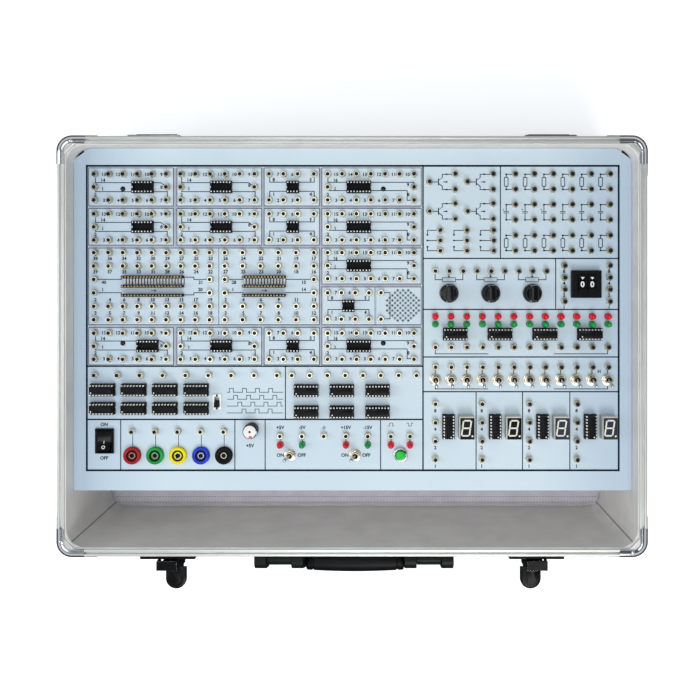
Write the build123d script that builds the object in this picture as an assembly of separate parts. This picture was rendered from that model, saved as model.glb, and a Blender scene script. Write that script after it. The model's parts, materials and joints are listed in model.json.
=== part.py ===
from build123d import *
import math
import os

# Digital logic trainer in the base of an aluminium carrying case, lid lifted off.
# Millimetres. The working frame has X to the right, +Y to the rear (hinge side) and +Z up,
# centred on the case, with Z = 0 on the table. The finished pieces are then moved along Y
# until the origin is the centre of the whole footprint.

# ---- case ----
case_width = 342.0
case_height = 110.0
corner_radius = 12.0
inner_chamfer = 8.0
skin = 1.1
board = 5.0
lining = 1.2
lining_drop = 1.0
ground_gap = 4.0
post_reach = 18.0
post_lap = 9.0

rim_drop = 16.0
rim_web = 3.2
groove_inset = 2.4
groove_width = 1.5
groove_depth = 1.8
rim_round = 0.7
base_rise = 16.0
base_lip = 17.0

cap = 0.8
cap_drop = 13.0
cap_top_reach = 23.5
cap_skirt_reach = 33.0

foot_radius = 9.0
foot_taper = 1.2
foot_inset = 45.0

# ---- panel and what carries it ----
panel_depth = 14.6
panel_thickness = 2.0
panel_gap = 0.3
panel_side_border = 12.0
panel_rear_border = 21.8
panel_front_border = 29.4
panel_cut_x = 13.5
panel_cut_y = 9.5
cleat_width = 12.0
cleat_height = 15.0
partition = 5.0
partition_setback = 4.0
pad_thickness = 2.5
pad_side_gap = 5.0
pad_front_gap = 5.0

# ---- patch field: X is measured from the middle of the case, and Y from a point
# ---- that keeps its distance to the rear edge of the panel ----
socket_radius = 2.9
socket_height = 3.8
socket_sides = 4
pin_pitch = 2.54
bank_tops = [141.6, 108.5, 9.7]
lower_bank_top = 76.4
bank_row = 10.8
wide_row = 11.12
left_bank = [-214.3 + 11.96 * i for i in range(6)]
second_bank = [-142.5 + 12.24 * i for i in range(6)]
small_bank = [-69.2, -57.4, -45.6, -32.1]
right_bank = [-20.7 + 11.92 * i for i in range(7)]
wide_bank = [-214.3 + 11.98 * i for i in range(9)]
medium_bank = [-105.9 + 14.76 * i for i in range(6)]
timer_bank = [-20.7 + 11.4 * i for i in range(4)]
timer_rows = [43.1, 21.3]
speaker_x = 41.8
speaker_y = 32.4
speaker_socket_x = 23.5

left_socket_shifts = [10.0, 10.0, 14.0]
second_socket_shift = 2.7
small_socket_shift = 0.9
right_socket_shift = -10.0
wide_strip_shift = 0.6
medium_strip_shift = -4.5

clock_row = -25.3
sequence_columns = [-214.3 + 18.95 * i for i in range(9)]
clock_columns = [-50.4 + 14.75 * i for i in range(8)]

sequence_chip_columns = [-207.6 + 25.9 * i for i in range(4)]
sequence_chip_rows = [-37.5, -52.9]
clock_chip_columns = [-38.6 + 29.6 * i for i in range(3)]
clock_chip_rows = [-38.1, -55.8]
level_chip_columns = [85.1 + 37.2 * i for i in range(4)]
level_chip_row = 8.7

terminal_columns = [-183.3 + 19.05 * i for i in range(5)]
terminal_row = -92.2
terminal_socket_row = -72.2
supply_columns = [-60.3 + 18.2 * i for i in range(5)]
supply_socket_row = -75.8
supply_led_row = -83.4
pulse_columns = [31.7, 47.5]

level_columns = [68.7 + 13.046 * i for i in range(12)]
level_red_row = 23.4
level_green_row = 16.9
level_socket_row = -2.0
switch_socket_row = -18.5
switch_row = -29.2

transistor_columns = [63.8, 95.3]
transistor_rows = [135.3, 110.8]
transistor_step_x = 21.25
transistor_step_y = 6.4
triple_columns = [72.7, 94.8, 116.9]
triple_rows = [95.0, 86.5, 78.0]
element_columns = [135.0 + 15.72 * i for i in range(6)]
element_rows = [141.7, 129.0, 116.4, 103.7, 90.8, 78.1]

knob_columns = [80.1, 114.8, 149.4]
knob_row = 42.6
knob_socket_row = 61.1
knob_socket_step = 11.54

wheel_block_x = 193.6
wheel_block_y = 50.3
wheel_socket_columns = [176.0, 213.5]
wheel_socket_rows = [65.7 - 9.93 * i for i in range(4)]

digit_cell_ends = [102.7, 141.4, 180.8, 220.4]
digit_socket_back = 34.0
digit_socket_rows = [-49.1 - 15.4 * i for i in range(4)]
digit_chip_back = 23.2
digit_back = 8.6
digit_row = -68.0

# ---- parts of the patch field ----
chip_socket_width = 10.16
chip_socket_height = 4.2
chip_socket_rail = 2.54
fitted_pins = 16
chip_width = 6.6
chip_height = 3.5
chip_taper = 8
chip_end_gap = 0.4
strip_width = 2.4
strip_height = 6.0
led_radius = 2.5
led_body = 4.2
led_dome = 2.4
led_taper = 32
digit_length = 19.0
digit_width = 12.7
digit_height = 8.0

grille_pitch_x = 2.2
grille_pitch_y = 2.1
grille_hole = 0.85
grille_rows = [3, 4, 5, 6, 7, 6, 7, 6, 7, 6, 5, 4, 3]
speaker_radius = 15.5
speaker_depth = 9.0
magnet_radius = 8.0
magnet_depth = 4.5

buzzer_radius = 6.0
buzzer_height = 9.5
buzzer_x = -84.2
buzzer_y = -70.8

# ---- toggles ----
bushing_radius = 2.9
bushing_wall = 0.8
bushing_height = 4.6
toggle_body_length = 13.0
toggle_body_width = 8.0
toggle_body_depth = 10.0
lever_root = 0.95
lever_tip = 1.45
lever_length = 12.5
lever_seat = 2.4
lever_pivot_radius = 1.3
lever_pivot_gap = 0.1
toggle_tilt = 12.5
supply_toggle_columns = [-52.3, 2.1]
supply_toggle_row = -92.1

# ---- rocker, slide switch, push button ----
rocker_x = -206.4
rocker_y = -80.2
rocker_frame_length = 20.8
rocker_frame_width = 15.5
rocker_bezel = 1.8
rocker_window_length = 18.0
rocker_window_width = 11.6
rocker_well = 7.0
rocker_body_depth = 15.0
rocker_body_inset = 1.1
rocker_side_gap = 0.3
rocker_half = 8.0
rocker_shoulder = 1.0
rocker_pin = 1.5
rocker_rise = 3.4
rocker_waist = 1.7
rocker_keel = 4.0
rocker_tilt = 10.0

slide_x = -113.0
slide_y = -47.9
slide_plate_length = 13.0
slide_plate_width = 7.4
slide_plate = 0.8
slide_body_depth = 6.0
slide_slot_length = 8.6
slide_slot_width = 4.2
slide_knob_length = 4.4
slide_knob_height = 3.4
slide_gap = 0.3

button_x = 39.8
button_y = -91.6
bezel_radius = 6.2
bezel_height = 2.2
button_radius = 3.75
button_wall = 1.2
button_gap = 0.08
button_round = 0.5
button_rise = 2.6
button_travel = 1.6
button_body_depth = 12.0

# ---- potentiometers and knobs ----
pot_radius = 8.0
pot_depth = 9.0
pot_bushing = 4.4
pot_neck = 3.5
shaft_radius = 3.0
shaft_gap = 0.06
knob_radius = 8.0
knob_crown = 6.4
knob_draft = 3
knob_skirt = 3.0
knob_height = 13.5
knob_clearance = 0.5
knob_well = 5.2
knob_pointer = 1.4
shaft_height = 10.0

# ---- number wheels ----
wheel_frame_length = 22.8
wheel_frame_width = 24.4
wheel_frame_height = 5.0
wheel_radius = 9.6
wheel_width = 6.0
wheel_gap = 0.3
wheel_pitch = 8.0
wheel_proud = 1.3
wheel_body_inset = 0.6

# ---- laboratory terminals ----
terminal_radius = 7.3
terminal_flange = 3.0
terminal_well = 4.6
terminal_well_depth = 2.0
terminal_bore = 2.02
terminal_stem = 4.9
terminal_depth = 18.0
terminal_reach = 15.0
terminal_hole_gap = 0.2

# ---- electronics under the panel ----
post_columns = [-191.5, 25.4]
post_rows = [129.5, 1.0]
post_radius = 3.2
post_drop = 20.0
screw_radius = 2.1
screw_height = 1.0
circuit_margin = 8.0
circuit_thickness = 1.6
heat_sink_columns = [-128.0, -20.0]
capacitor_columns = [-93.0, -68.0]
capacitor_shift = 20.0
heat_sink_base = 2.0
heat_sink_fin = 1.5
heat_sink_fins = 5
heat_sink_pitch = 5.0
heat_sink_height = 22.0
heat_sink_length = 34.0
capacitor_radius = 8.0
capacitor_height = 25.0
core_length = 62.0
core_width = 24.0
core_height = 50.0
coil_width = 42.0
coil_length = 36.0
coil_height = 36.0
transformer_x = -150.0
transformer_y = -62.0

inlet_y = -58.0
inlet_z = 52.0
inlet_flange_length = 40.0
inlet_flange_height = 28.0
inlet_flange = 1.6
inlet_body_length = 27.0
inlet_body_height = 19.5
inlet_depth = 20.0
inlet_well_length = 24.0
inlet_well_height = 16.5
inlet_well_depth = 15.0
inlet_cut = 3.0
inlet_pin_pitch = 7.0
inlet_blade_width = 2.0
inlet_blade_length = 4.0
inlet_blade_rise = 2.0
inlet_blade_gap = 4.0

# ---- carrying handle ----
handle_drop = 48.0
handle_stand = 21.0
handle_lean = 25.0
grip_length = 88.6
bracket_margin = 0.2
bracket_height = 26.0
bracket_plate = 2.0
barrel_radius = 4.8
barrel_length = 21.0
gusset = 6.0
handle_pin_radius = 2.4
handle_pin_gap = 0.06
stop_height = 13.0
stop_gap = 0.3
lug_width = 10.4
lug_radius = 8.4
lug_gap = 0.4
arm_length = 28.0
arm_end_radius = 6.5
outer_lug_drop = 12.0
bridge_near = 9.0
bridge_far = 15.0
bridge_thickness = 5.0
grip_radius = 10.3
grip_end_radius = 9.2
grip_straight = 34.0

# ---- draw latches ----
latch_x = 150.5
latch_plate_length = 45.0
latch_plate_height = 42.0
latch_plate = 2.8
latch_top_gap = 2.0
latch_pivot_drop = 27.0
latch_stand = 5.0
latch_pin_radius = 1.25
latch_pin_gap = 0.06
latch_cheek = 1.6
latch_cheek_radius = 3.2
latch_side_gap = 0.4
knuckle_radius = 2.8
knuckle_width = 12.4
claw_crank = 6.0
claw_sheet = 1.6
claw_arm = 2.3
claw_straight = 6.5
claw_reach = 8.0
claw_wall_gap = 0.5
claw_head = 8.0
claw_rise = 1.0
tongue_start = 11.5
tongue_reach = 30.0
tongue_width = 17.6
tongue_thickness = 1.8

# ---- slot-in hinge halves for the lid ----
hinge_x = 162.0
hinge_length = 42.0
hinge_height = 28.0
hinge_top_gap = 1.5
hinge_plate = 1.2
hinge_slot = 1.2
hinge_strap = 0.9
hinge_strap_length = 34.0
hinge_strap_height = 11.0
hinge_slot_length = 26.0

# ---- levels and half sizes that follow ----
wall = skin + board
panel_half = digit_cell_ends[-1] + panel_side_border
inside_x = panel_half + panel_gap
half_length = inside_x + lining + wall
half_width = case_width / 2
inside_y = half_width - lining - wall
wall_face_y = half_width - skin
base_top = ground_gap + skin + board
floor_z = base_top + lining
panel_top = case_height - panel_depth
panel_under = panel_top - panel_thickness
panel_rear = inside_y - panel_gap
field_shift = panel_rear - panel_rear_border - bank_tops[0]
panel_front = field_shift + terminal_row - panel_front_border
partition_front = panel_front + partition_setback
cleat_front = partition_front + partition
handle_pin_length = barrel_length + 2 * (lug_gap + lug_width)


def between(x0, x1, y0, y1, z0, z1):
    """A box between two opposite corners."""
    middle = ((x0 + x1) / 2, (y0 + y1) / 2, (z0 + z1) / 2)
    return Pos(*middle) * Box(abs(x1 - x0), abs(y1 - y0), abs(z1 - z0))


def upright(sketch, z0, height, taper=0):
    """A sketch raised from level z0."""
    return Pos(0, 0, z0) * extrude(sketch, height, taper=taper)


def side_outline(points, width, x=0.0):
    """An outline of (y, z) points, given its width along X about x."""
    face = make_face(Plane.YZ * Polyline(*points, close=True))
    return Pos(x, 0, 0) * extrude(face, width / 2, both=True)


def side_disc(radius, width, x, y, z):
    """A disc whose axis runs along X."""
    return Pos(x, y, z) * Rot(0, 90, 0) * Cylinder(radius, width)


def outer_outline(inset):
    """The rounded outline of the case, moved inwards by inset."""
    width, depth = 2 * (half_length - inset), 2 * (half_width - inset)
    return RectangleRounded(width, depth, corner_radius - inset)


def inner_outline(inset):
    """The inside outline with flat corners, whose wall keeps its thickness across the flat."""
    leg = inner_chamfer + (wall + lining - inset) * (2 - math.sqrt(2))
    plain = Rectangle(2 * (half_length - inset), 2 * (half_width - inset))
    return chamfer(plain.vertices(), leg)


def corner_window(reach, beyond=5.0):
    """A square over the rear right corner, reaching back along both sides."""
    middle_x = half_length + (beyond - reach) / 2
    middle_y = half_width + (beyond - reach) / 2
    return Pos(middle_x, middle_y) * Rectangle(reach + beyond, reach + beyond)


def at_corners(piece):
    """The rear right piece and its three mirror images."""
    rear = [piece, mirror(piece, Plane.YZ)]
    return rear + [mirror(one, Plane.XZ) for one in rear]


def at_places(piece, places, z):
    """Copies of one piece at (x, y) places on level z."""
    return [Pos(x, y, z) * piece for x, y in places]


def grid(columns, rows):
    return [(x, y) for y in rows for x in columns]


# ---- case shell ----
def make_base_board():
    return [upright(inner_outline(wall), ground_gap + skin, board)]


def make_wall_boards():
    z0 = ground_gap + skin
    z1 = case_height - rim_web
    end_x = half_length - post_reach
    end_y = half_width - post_reach
    front = between(-end_x, end_x, -half_width + skin, -half_width + wall, z0, z1)
    left = between(-half_length + skin, -half_length + wall, -end_y, end_y, z0, z1)
    inlet_hole = between(
        -half_length,
        -half_length + wall,
        inlet_y - inlet_body_length / 2,
        inlet_y + inlet_body_length / 2,
        inlet_z - inlet_body_height / 2,
        inlet_z + inlet_body_height / 2,
    )
    return [front, mirror(front, Plane.XZ), left - inlet_hole, mirror(left, Plane.YZ)]


def make_base_edge():
    """Angle extrusion bent round the foot of the case."""
    foot = upright(outer_outline(0) - inner_outline(base_lip), ground_gap, skin)
    flange = upright(outer_outline(0) - outer_outline(skin), ground_gap, base_rise)
    return foot + flange


def make_corner_post():
    """Hollow corner extrusion with a lap over each wall board."""
    z0 = ground_gap + skin
    z1 = case_height - rim_web
    core = (outer_outline(skin) - inner_outline(wall)) & corner_window(post_reach)
    hollow = offset(core, -skin, kind=Kind.INTERSECTION)
    tube = upright(core - hollow, z0, z1 - z0)
    lap = (outer_outline(0) - outer_outline(skin)) & corner_window(post_reach + post_lap)
    lap_z0 = ground_gap + base_rise
    return tube + upright(lap, lap_z0, case_height - rim_drop - lap_z0)


def make_edge_extrusions():
    return [make_base_edge()] + at_corners(make_corner_post())


def on_outer_outline(edge):
    """True for an edge that lies on the outside of the case."""
    middle = edge.position_at(0.5)
    near_side = half_length - abs(middle.X) < 0.01
    near_end = half_width - abs(middle.Y) < 0.01
    centre_x = half_length - corner_radius
    centre_y = half_width - corner_radius
    radius = math.hypot(abs(middle.X) - centre_x, abs(middle.Y) - centre_y)
    in_corner = abs(middle.X) > centre_x and abs(middle.Y) > centre_y
    return near_side or near_end or (in_corner and abs(radius - corner_radius) < 0.01)


def make_rim_extrusion():
    """Rim extrusion: outside flange, web over the board and the groove for the lid."""
    web = upright(outer_outline(0) - inner_outline(wall), case_height - rim_web, rim_web)
    flange = upright(outer_outline(0) - outer_outline(skin), case_height - rim_drop, rim_drop)
    ridge = outer_outline(groove_inset)
    groove = upright(
        ridge - outer_outline(groove_inset + groove_width),
        case_height - groove_depth,
        groove_depth,
    )
    rim = web + flange - groove
    top = rim.edges().filter_by_position(Axis.Z, case_height, case_height)
    outer = [edge for edge in top if on_outer_outline(edge)]
    return [chamfer(outer, rim_round)]


def make_corner_caps():
    """Pressed corner caps on the rim and round the foot of the case."""
    shell = outer_outline(-cap)
    skirt = (shell - outer_outline(0)) & corner_window(cap_skirt_reach)
    top_plate = (shell - inner_outline(wall)) & corner_window(cap_top_reach)
    foot_plate = (shell & corner_window(cap_top_reach)) - inner_outline(base_lip)
    rim_cap = upright(skirt, case_height - cap_drop, cap_drop)
    rim_cap += upright(top_plate, case_height, cap)
    base_cap = upright(skirt, ground_gap, cap_drop)
    base_cap += upright(foot_plate, ground_gap - cap, cap)
    return at_corners(rim_cap) + at_corners(base_cap)


def make_case_feet():
    height = ground_gap + skin
    flare = math.degrees(math.atan(foot_taper / height))
    foot = extrude(RegularPolygon(foot_radius - foot_taper, 16), height, taper=-flare)
    x = half_length - foot_inset
    y = half_width - foot_inset
    return at_places(foot, grid([-x, x], [-y, y]), 0)


def make_case_lining():
    """Lining sheet over the walls and the floor, open for the mains inlet."""
    tray = upright(inner_outline(wall), base_top, case_height - lining_drop - base_top)
    tray -= upright(inner_outline(wall + lining), floor_z, case_height)
    inlet_hole = between(
        -half_length,
        -inside_x,
        inlet_y - inlet_body_length / 2,
        inlet_y + inlet_body_length / 2,
        inlet_z - inlet_body_height / 2,
        inlet_z + inlet_body_height / 2,
    )
    return [tray - inlet_hole]


def make_floor_pad():
    """Stitched pad on the floor of the storage space."""
    x = inside_x - pad_side_gap
    y = -inside_y + pad_front_gap
    return [between(-x, x, y, partition_front, floor_z, floor_z + pad_thickness)]


def make_panel_supports():
    """Battens on three walls, and the partition under the front edge of the panel."""
    z0 = panel_under - cleat_height
    rear_end = inside_x - inner_chamfer
    rear = between(-rear_end, rear_end, inside_y - cleat_width, inside_y, z0, panel_under)
    side_rear = inside_y - cleat_width - inner_chamfer
    left = between(-inside_x, -inside_x + cleat_width, cleat_front, side_rear, z0, panel_under)
    wall_board = between(-inside_x, inside_x, partition_front, cleat_front, floor_z, panel_under)
    return [rear, left, mirror(left, Plane.YZ), wall_board]


# ---- panel ----
def panel_outline():
    points = [
        (-panel_half, panel_front),
        (panel_half, panel_front),
        (panel_half, panel_rear - panel_cut_y),
        (panel_half - panel_cut_x, panel_rear),
        (-panel_half + panel_cut_x, panel_rear),
        (-panel_half, panel_rear - panel_cut_y),
    ]
    return make_face(Polyline(*points, close=True))


def grille_places():
    """Diamond lattice of sound holes over the loudspeaker."""
    first = (len(grille_rows) - 1) / 2
    places = []
    for row, count in enumerate(grille_rows):
        y = speaker_y + (first - row) * grille_pitch_y
        start = speaker_x - (count - 1) * grille_pitch_x
        places += [(start + 2 * grille_pitch_x * i, y) for i in range(count)]
    return places


def toggle_places():
    return grid(level_columns, [switch_row])


def supply_toggle_places():
    return grid(supply_toggle_columns, [supply_toggle_row])


def make_panel():
    """Printed panel with a hole for everything that passes through it."""
    bushing_hole = RegularPolygon(bushing_radius, 6)
    terminal_hole = RegularPolygon(terminal_stem + terminal_hole_gap, 8)
    pot_hole = RegularPolygon(pot_bushing, 8)
    sound_hole = RegularPolygon(grille_hole, 4)
    rocker_width = rocker_frame_width - 2 * rocker_body_inset
    rocker_length = rocker_frame_length - 2 * rocker_body_inset
    slide_width = slide_slot_width + 2 * slide_plate
    slide_length = slide_slot_length + 2 * slide_plate
    wheel_body_width = wheel_frame_width - 2 * wheel_body_inset
    wheel_body_length = wheel_frame_length - 2 * wheel_body_inset
    holes = [Pos(x, y) * bushing_hole for x, y in toggle_places()]
    holes += [Pos(x, y) * Rot(0, 0, 90) * bushing_hole for x, y in supply_toggle_places()]
    holes += [Pos(x, terminal_row) * terminal_hole for x in terminal_columns]
    holes += [Pos(x, knob_row) * pot_hole for x in knob_columns]
    holes += [Pos(x, y) * sound_hole for x, y in grille_places()]
    holes += [
        Pos(rocker_x, rocker_y) * Rectangle(rocker_width, rocker_length),
        Pos(slide_x, slide_y) * Rectangle(slide_width, slide_length),
        Pos(wheel_block_x, wheel_block_y) * Rectangle(wheel_body_width, wheel_body_length),
        Pos(button_x, button_y) * RegularPolygon(button_radius + button_wall, 8),
    ]
    face = panel_outline()
    for hole in holes:
        face -= Pos(0, field_shift) * hole
    return [upright(face, panel_under, panel_thickness)]


def bank_places(columns, top):
    """Patch sockets round a socket for a chip: two rows, and one more at each end."""
    ends = [columns[0], columns[-1]]
    rows = grid(columns, [top, top - 2 * bank_row])
    return rows + grid(ends, [top - bank_row])


def wide_places(columns):
    """Four rows of patch sockets with two more rows at the ends only."""
    rows = [lower_bank_top - wide_row * i for i in range(6)]
    full = rows[:2] + rows[4:]
    return grid(columns, full) + grid([columns[0], columns[-1]], rows[2:4])


def transistor_places():
    places = []
    for x, y in grid(transistor_columns, transistor_rows):
        right = x + transistor_step_x
        places += [(x, y), (right, y + transistor_step_y), (right, y - transistor_step_y)]
    return places


def patch_places():
    places = []
    for top in bank_tops:
        places += bank_places(left_bank, top) + bank_places(second_bank, top)
        places += grid(small_bank, [top, top - 2 * bank_row])
    for top in bank_tops + [lower_bank_top]:
        places += bank_places(right_bank, top)
    places += wide_places(wide_bank) + wide_places(medium_bank)
    places += grid(timer_bank, timer_rows)
    places += grid([speaker_socket_x], timer_rows)
    places += grid(sequence_columns + clock_columns, [clock_row])
    places += grid(terminal_columns, [terminal_socket_row])
    places += grid(supply_columns + pulse_columns, [supply_socket_row])
    places += grid(level_columns, [level_socket_row, switch_socket_row])
    places += transistor_places()
    places += grid(triple_columns, triple_rows)
    places += grid(element_columns, element_rows)
    step = knob_socket_step
    around_knobs = [x + side for x in knob_columns for side in (-step, 0, step)]
    places += grid(around_knobs, [knob_socket_row])
    places += grid(wheel_socket_columns, wheel_socket_rows)
    places += grid([end - digit_socket_back for end in digit_cell_ends], digit_socket_rows)
    return places


def make_patch_sockets():
    socket = extrude(RegularPolygon(socket_radius, socket_sides), socket_height)
    return at_places(socket, patch_places(), panel_top)


# ---- sockets for chips ----
def chip_socket(pins):
    """Open frame for a dual row chip with the given number of pins."""
    length = pins / 2 * pin_pitch
    opening = chip_socket_width - 2 * chip_socket_rail
    frame = Rectangle(length, chip_socket_width) - Rectangle(length - chip_socket_rail, opening)
    return extrude(frame, chip_socket_height)


def filled_socket():
    """Closed base of a socket that has its chip fitted."""
    length = fitted_pins / 2 * pin_pitch
    return Pos(0, 0, chip_socket_height / 2) * Box(length, chip_socket_width, chip_socket_height)


def middle(columns):
    return (columns[0] + columns[-1]) / 2


def socket_row(top):
    return top - bank_row


def empty_socket_places():
    """Places of the empty chip sockets as (pins, x, y)."""
    places = []
    for top, left_shift in zip(bank_tops, left_socket_shifts):
        places.append((14, middle(left_bank) + left_shift, socket_row(top)))
        places.append((14, middle(second_bank) + second_socket_shift, socket_row(top)))
        places.append((8, middle(small_bank) + small_socket_shift, socket_row(top)))
    for top in bank_tops + [lower_bank_top]:
        places.append((16, middle(right_bank) + right_socket_shift, socket_row(top)))
    places.append((8, middle(timer_bank), middle(timer_rows)))
    return places


def chip_places():
    """Places of the fitted chips as (x, y, turn)."""
    flat = grid(sequence_chip_columns, sequence_chip_rows)
    flat += grid(clock_chip_columns, clock_chip_rows)
    flat += grid(level_chip_columns, [level_chip_row])
    upright_chips = [(end - digit_chip_back, digit_row, 90) for end in digit_cell_ends]
    return [(x, y, 0) for x, y in flat] + upright_chips


def make_chip_sockets():
    frames = {pins: chip_socket(pins) for pins in (8, 14, 16)}
    base = filled_socket()
    empty = [Pos(x, y, panel_top) * frames[pins] for pins, x, y in empty_socket_places()]
    filled = [Pos(x, y, panel_top) * Rot(0, 0, turn) * base for x, y, turn in chip_places()]
    return empty + filled


def contact_strip_places():
    """Wide contact strips as (pins, x, y), three in each of the two large banks."""
    row = lower_bank_top - 2.5 * wide_row
    strips = []
    wide_x = middle(wide_bank) + wide_strip_shift
    medium_x = middle(medium_bank) + medium_strip_shift
    for pins, x in ((40, wide_x), (28, medium_x)):
        strips += [(pins, x, row + 3 * pin_pitch * i) for i in (-1, 0, 1)]
    return strips


def make_contact_strips():
    strips = []
    for pins, x, y in contact_strip_places():
        length = pins / 2 * pin_pitch
        strip = Pos(0, 0, strip_height / 2) * Box(length, strip_width, strip_height)
        strips.append(Pos(x, y, panel_top) * strip)
    return strips


def make_logic_chips():
    """Chip bodies with drafted sides, seated across the rails of their sockets."""
    length = fitted_pins / 2 * pin_pitch - 2 * chip_end_gap
    lower = Rectangle(length, chip_width)
    chip = extrude(lower, chip_height, taper=chip_taper)
    z = panel_top + chip_socket_height
    return [Pos(x, y, z) * Rot(0, 0, turn) * chip for x, y, turn in chip_places()]


# ---- indicators ----
def make_led():
    """Light with a straight body and a drafted dome."""
    outline = RegularPolygon(led_radius, 6)
    return extrude(outline, led_body) + upright(outline, led_body, led_dome, led_taper)


def red_places():
    supply = [supply_columns[0], supply_columns[3]]
    places = grid(level_columns, [level_red_row])
    return places + grid(supply + pulse_columns, [supply_led_row])


def green_places():
    supply = [supply_columns[1], supply_columns[4]]
    return grid(level_columns, [level_green_row]) + grid(supply, [supply_led_row])


def make_red_leds():
    return at_places(make_led(), red_places(), panel_top)


def make_green_leds():
    return at_places(make_led(), green_places(), panel_top)


def make_digit_displays():
    display = Pos(0, 0, digit_height / 2) * Box(digit_width, digit_length, digit_height)
    places = [(end - digit_back, digit_row) for end in digit_cell_ends]
    return at_places(display, places, panel_top)


def make_speaker():
    """Loudspeaker under the sound holes: basket and magnet."""
    basket_depth = speaker_depth - magnet_depth
    slope = math.degrees(math.atan((speaker_radius - magnet_radius) / basket_depth))
    face = RegularPolygon(magnet_radius, 16)
    magnet = upright(face, -speaker_depth, magnet_depth)
    basket = upright(face, -basket_depth, basket_depth, -slope)
    return [Pos(speaker_x, speaker_y, panel_under) * (basket + magnet)]


def make_buzzer():
    body = Cylinder(buzzer_radius, buzzer_height)
    return [Pos(buzzer_x, buzzer_y, panel_top + buzzer_height / 2) * body]


# ---- toggles ----
def toggle_body():
    """Switch body below the panel, with the hollow bushing that the lever stands in."""
    bushing = RegularPolygon(bushing_radius, 6)
    bore = RegularPolygon(bushing_radius - bushing_wall, 6)
    body_z = -panel_thickness - toggle_body_depth / 2
    body = Pos(0, 0, body_z) * Box(toggle_body_width, toggle_body_length, toggle_body_depth)
    neck = upright(bushing, -panel_thickness, panel_thickness + bushing_height)
    seat = bushing_height - lever_seat - lever_pivot_radius - lever_pivot_gap
    well = upright(bore, seat, bushing_height)
    return body + neck - well


def make_toggle_bodies():
    body = toggle_body()
    across = [Pos(x, y, panel_top) * body for x, y in toggle_places()]
    along = [Pos(x, y, panel_top) * Rot(0, 0, 90) * body for x, y in supply_toggle_places()]
    return across + along


def toggle_pivot_z():
    return panel_top + bushing_height - lever_seat


def toggle_lever():
    """Bat shaped lever standing up from its round pivot, thicker towards its tip."""
    flare = math.degrees(math.atan((lever_tip - lever_root) / lever_length))
    bat = extrude(RegularPolygon(lever_root, 6), lever_length, taper=-flare)
    return bat + side_disc(lever_pivot_radius, 2 * lever_root, 0, 0, 0)


def make_switch_lever(x):
    return [Pos(x, switch_row, toggle_pivot_z()) * Rot(toggle_tilt, 0, 0) * toggle_lever()]


def make_supply_lever(x):
    lever = Rot(0, -toggle_tilt, 0) * Rot(0, 0, 90) * toggle_lever()
    return [Pos(x, supply_toggle_row, toggle_pivot_z()) * lever]


# ---- mains rocker ----
def rocker_pivot_z():
    return panel_top + rocker_bezel - rocker_rise / 2


def make_rocker_frame():
    bezel = Rectangle(rocker_frame_width, rocker_frame_length)
    inset = 2 * rocker_body_inset
    below = Rectangle(rocker_frame_width - inset, rocker_frame_length - inset)
    window = Rectangle(rocker_window_width, rocker_window_length)
    frame = upright(bezel, 0, rocker_bezel)
    frame += upright(below, -rocker_body_depth, rocker_body_depth)
    frame -= upright(window, rocker_bezel - rocker_well, rocker_well)
    return [Pos(rocker_x, rocker_y, panel_top) * frame]


def make_power_rocker():
    """Rocker with a shallow V top, its rear half pressed in."""
    points = [
        (-rocker_half, rocker_rise),
        (0, rocker_waist),
        (rocker_half, rocker_rise),
        (rocker_half - rocker_shoulder, 0),
        (rocker_waist, -rocker_keel),
        (-rocker_waist, -rocker_keel),
        (-rocker_half + rocker_shoulder, 0),
    ]
    width = rocker_window_width - 2 * rocker_side_gap
    pin = side_disc(rocker_pin, rocker_window_width - rocker_side_gap, 0, 0, 0)
    rocker = side_outline(points, width) + pin
    place = Pos(rocker_x, rocker_y, rocker_pivot_z())
    return [place * Rot(-rocker_tilt, 0, 0) * rocker]


# ---- slide switch ----
def make_slide_switch_frame():
    plate = Rectangle(slide_plate_width, slide_plate_length)
    body_width = slide_slot_width + 2 * slide_plate
    body = Rectangle(body_width, slide_slot_length + 2 * slide_plate)
    slot = Rectangle(slide_slot_width, slide_slot_length)
    frame = upright(plate, 0, slide_plate) + upright(body, -slide_body_depth, slide_body_depth)
    frame -= upright(slot, slide_plate - slide_body_depth, slide_body_depth)
    return [Pos(slide_x, slide_y, panel_top) * frame]


def make_slide_switch_knob():
    """Knob at the front end of its slot."""
    width = slide_slot_width - 2 * slide_gap
    knob = Rectangle(width, slide_knob_length)
    y = slide_y - slide_slot_length / 2 + slide_gap + slide_knob_length / 2
    z0 = panel_top + slide_plate - slide_body_depth + slide_gap
    z1 = panel_top + slide_plate + slide_knob_height
    return [Pos(slide_x, y, 0) * upright(knob, z0, z1 - z0)]


# ---- push button ----
def make_button_bezel():
    bezel = upright(Circle(bezel_radius), 0, bezel_height)
    outside = RegularPolygon(button_radius + button_wall, 8)
    bezel += upright(outside, -button_body_depth - button_wall, button_body_depth + button_wall)
    bore = Circle(button_radius + button_gap)
    bezel -= upright(bore, -button_body_depth, button_body_depth + bezel_height)
    return [Pos(button_x, button_y, panel_top) * bezel]


def make_button_cap():
    top = bezel_height + button_rise
    bottom = -button_body_depth + button_travel + button_wall
    cap_body = upright(Circle(button_radius), bottom, top - bottom)
    cap_body = chamfer(cap_body.edges().sort_by(Axis.Z)[-1], button_round)
    return [Pos(button_x, button_y, panel_top) * cap_body]


# ---- potentiometers ----
def make_potentiometers():
    """Potentiometer case below the panel, with the bushing that its shaft turns in."""
    body = upright(RegularPolygon(pot_radius, 12), -panel_thickness - pot_depth, pot_depth)
    body += upright(RegularPolygon(pot_bushing, 8), -panel_thickness, panel_thickness + pot_neck)
    bore = Circle(shaft_radius + shaft_gap)
    body -= upright(bore, -panel_thickness - pot_depth / 2, case_height)
    return at_places(body, grid(knob_columns, [knob_row]), panel_top)


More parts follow.
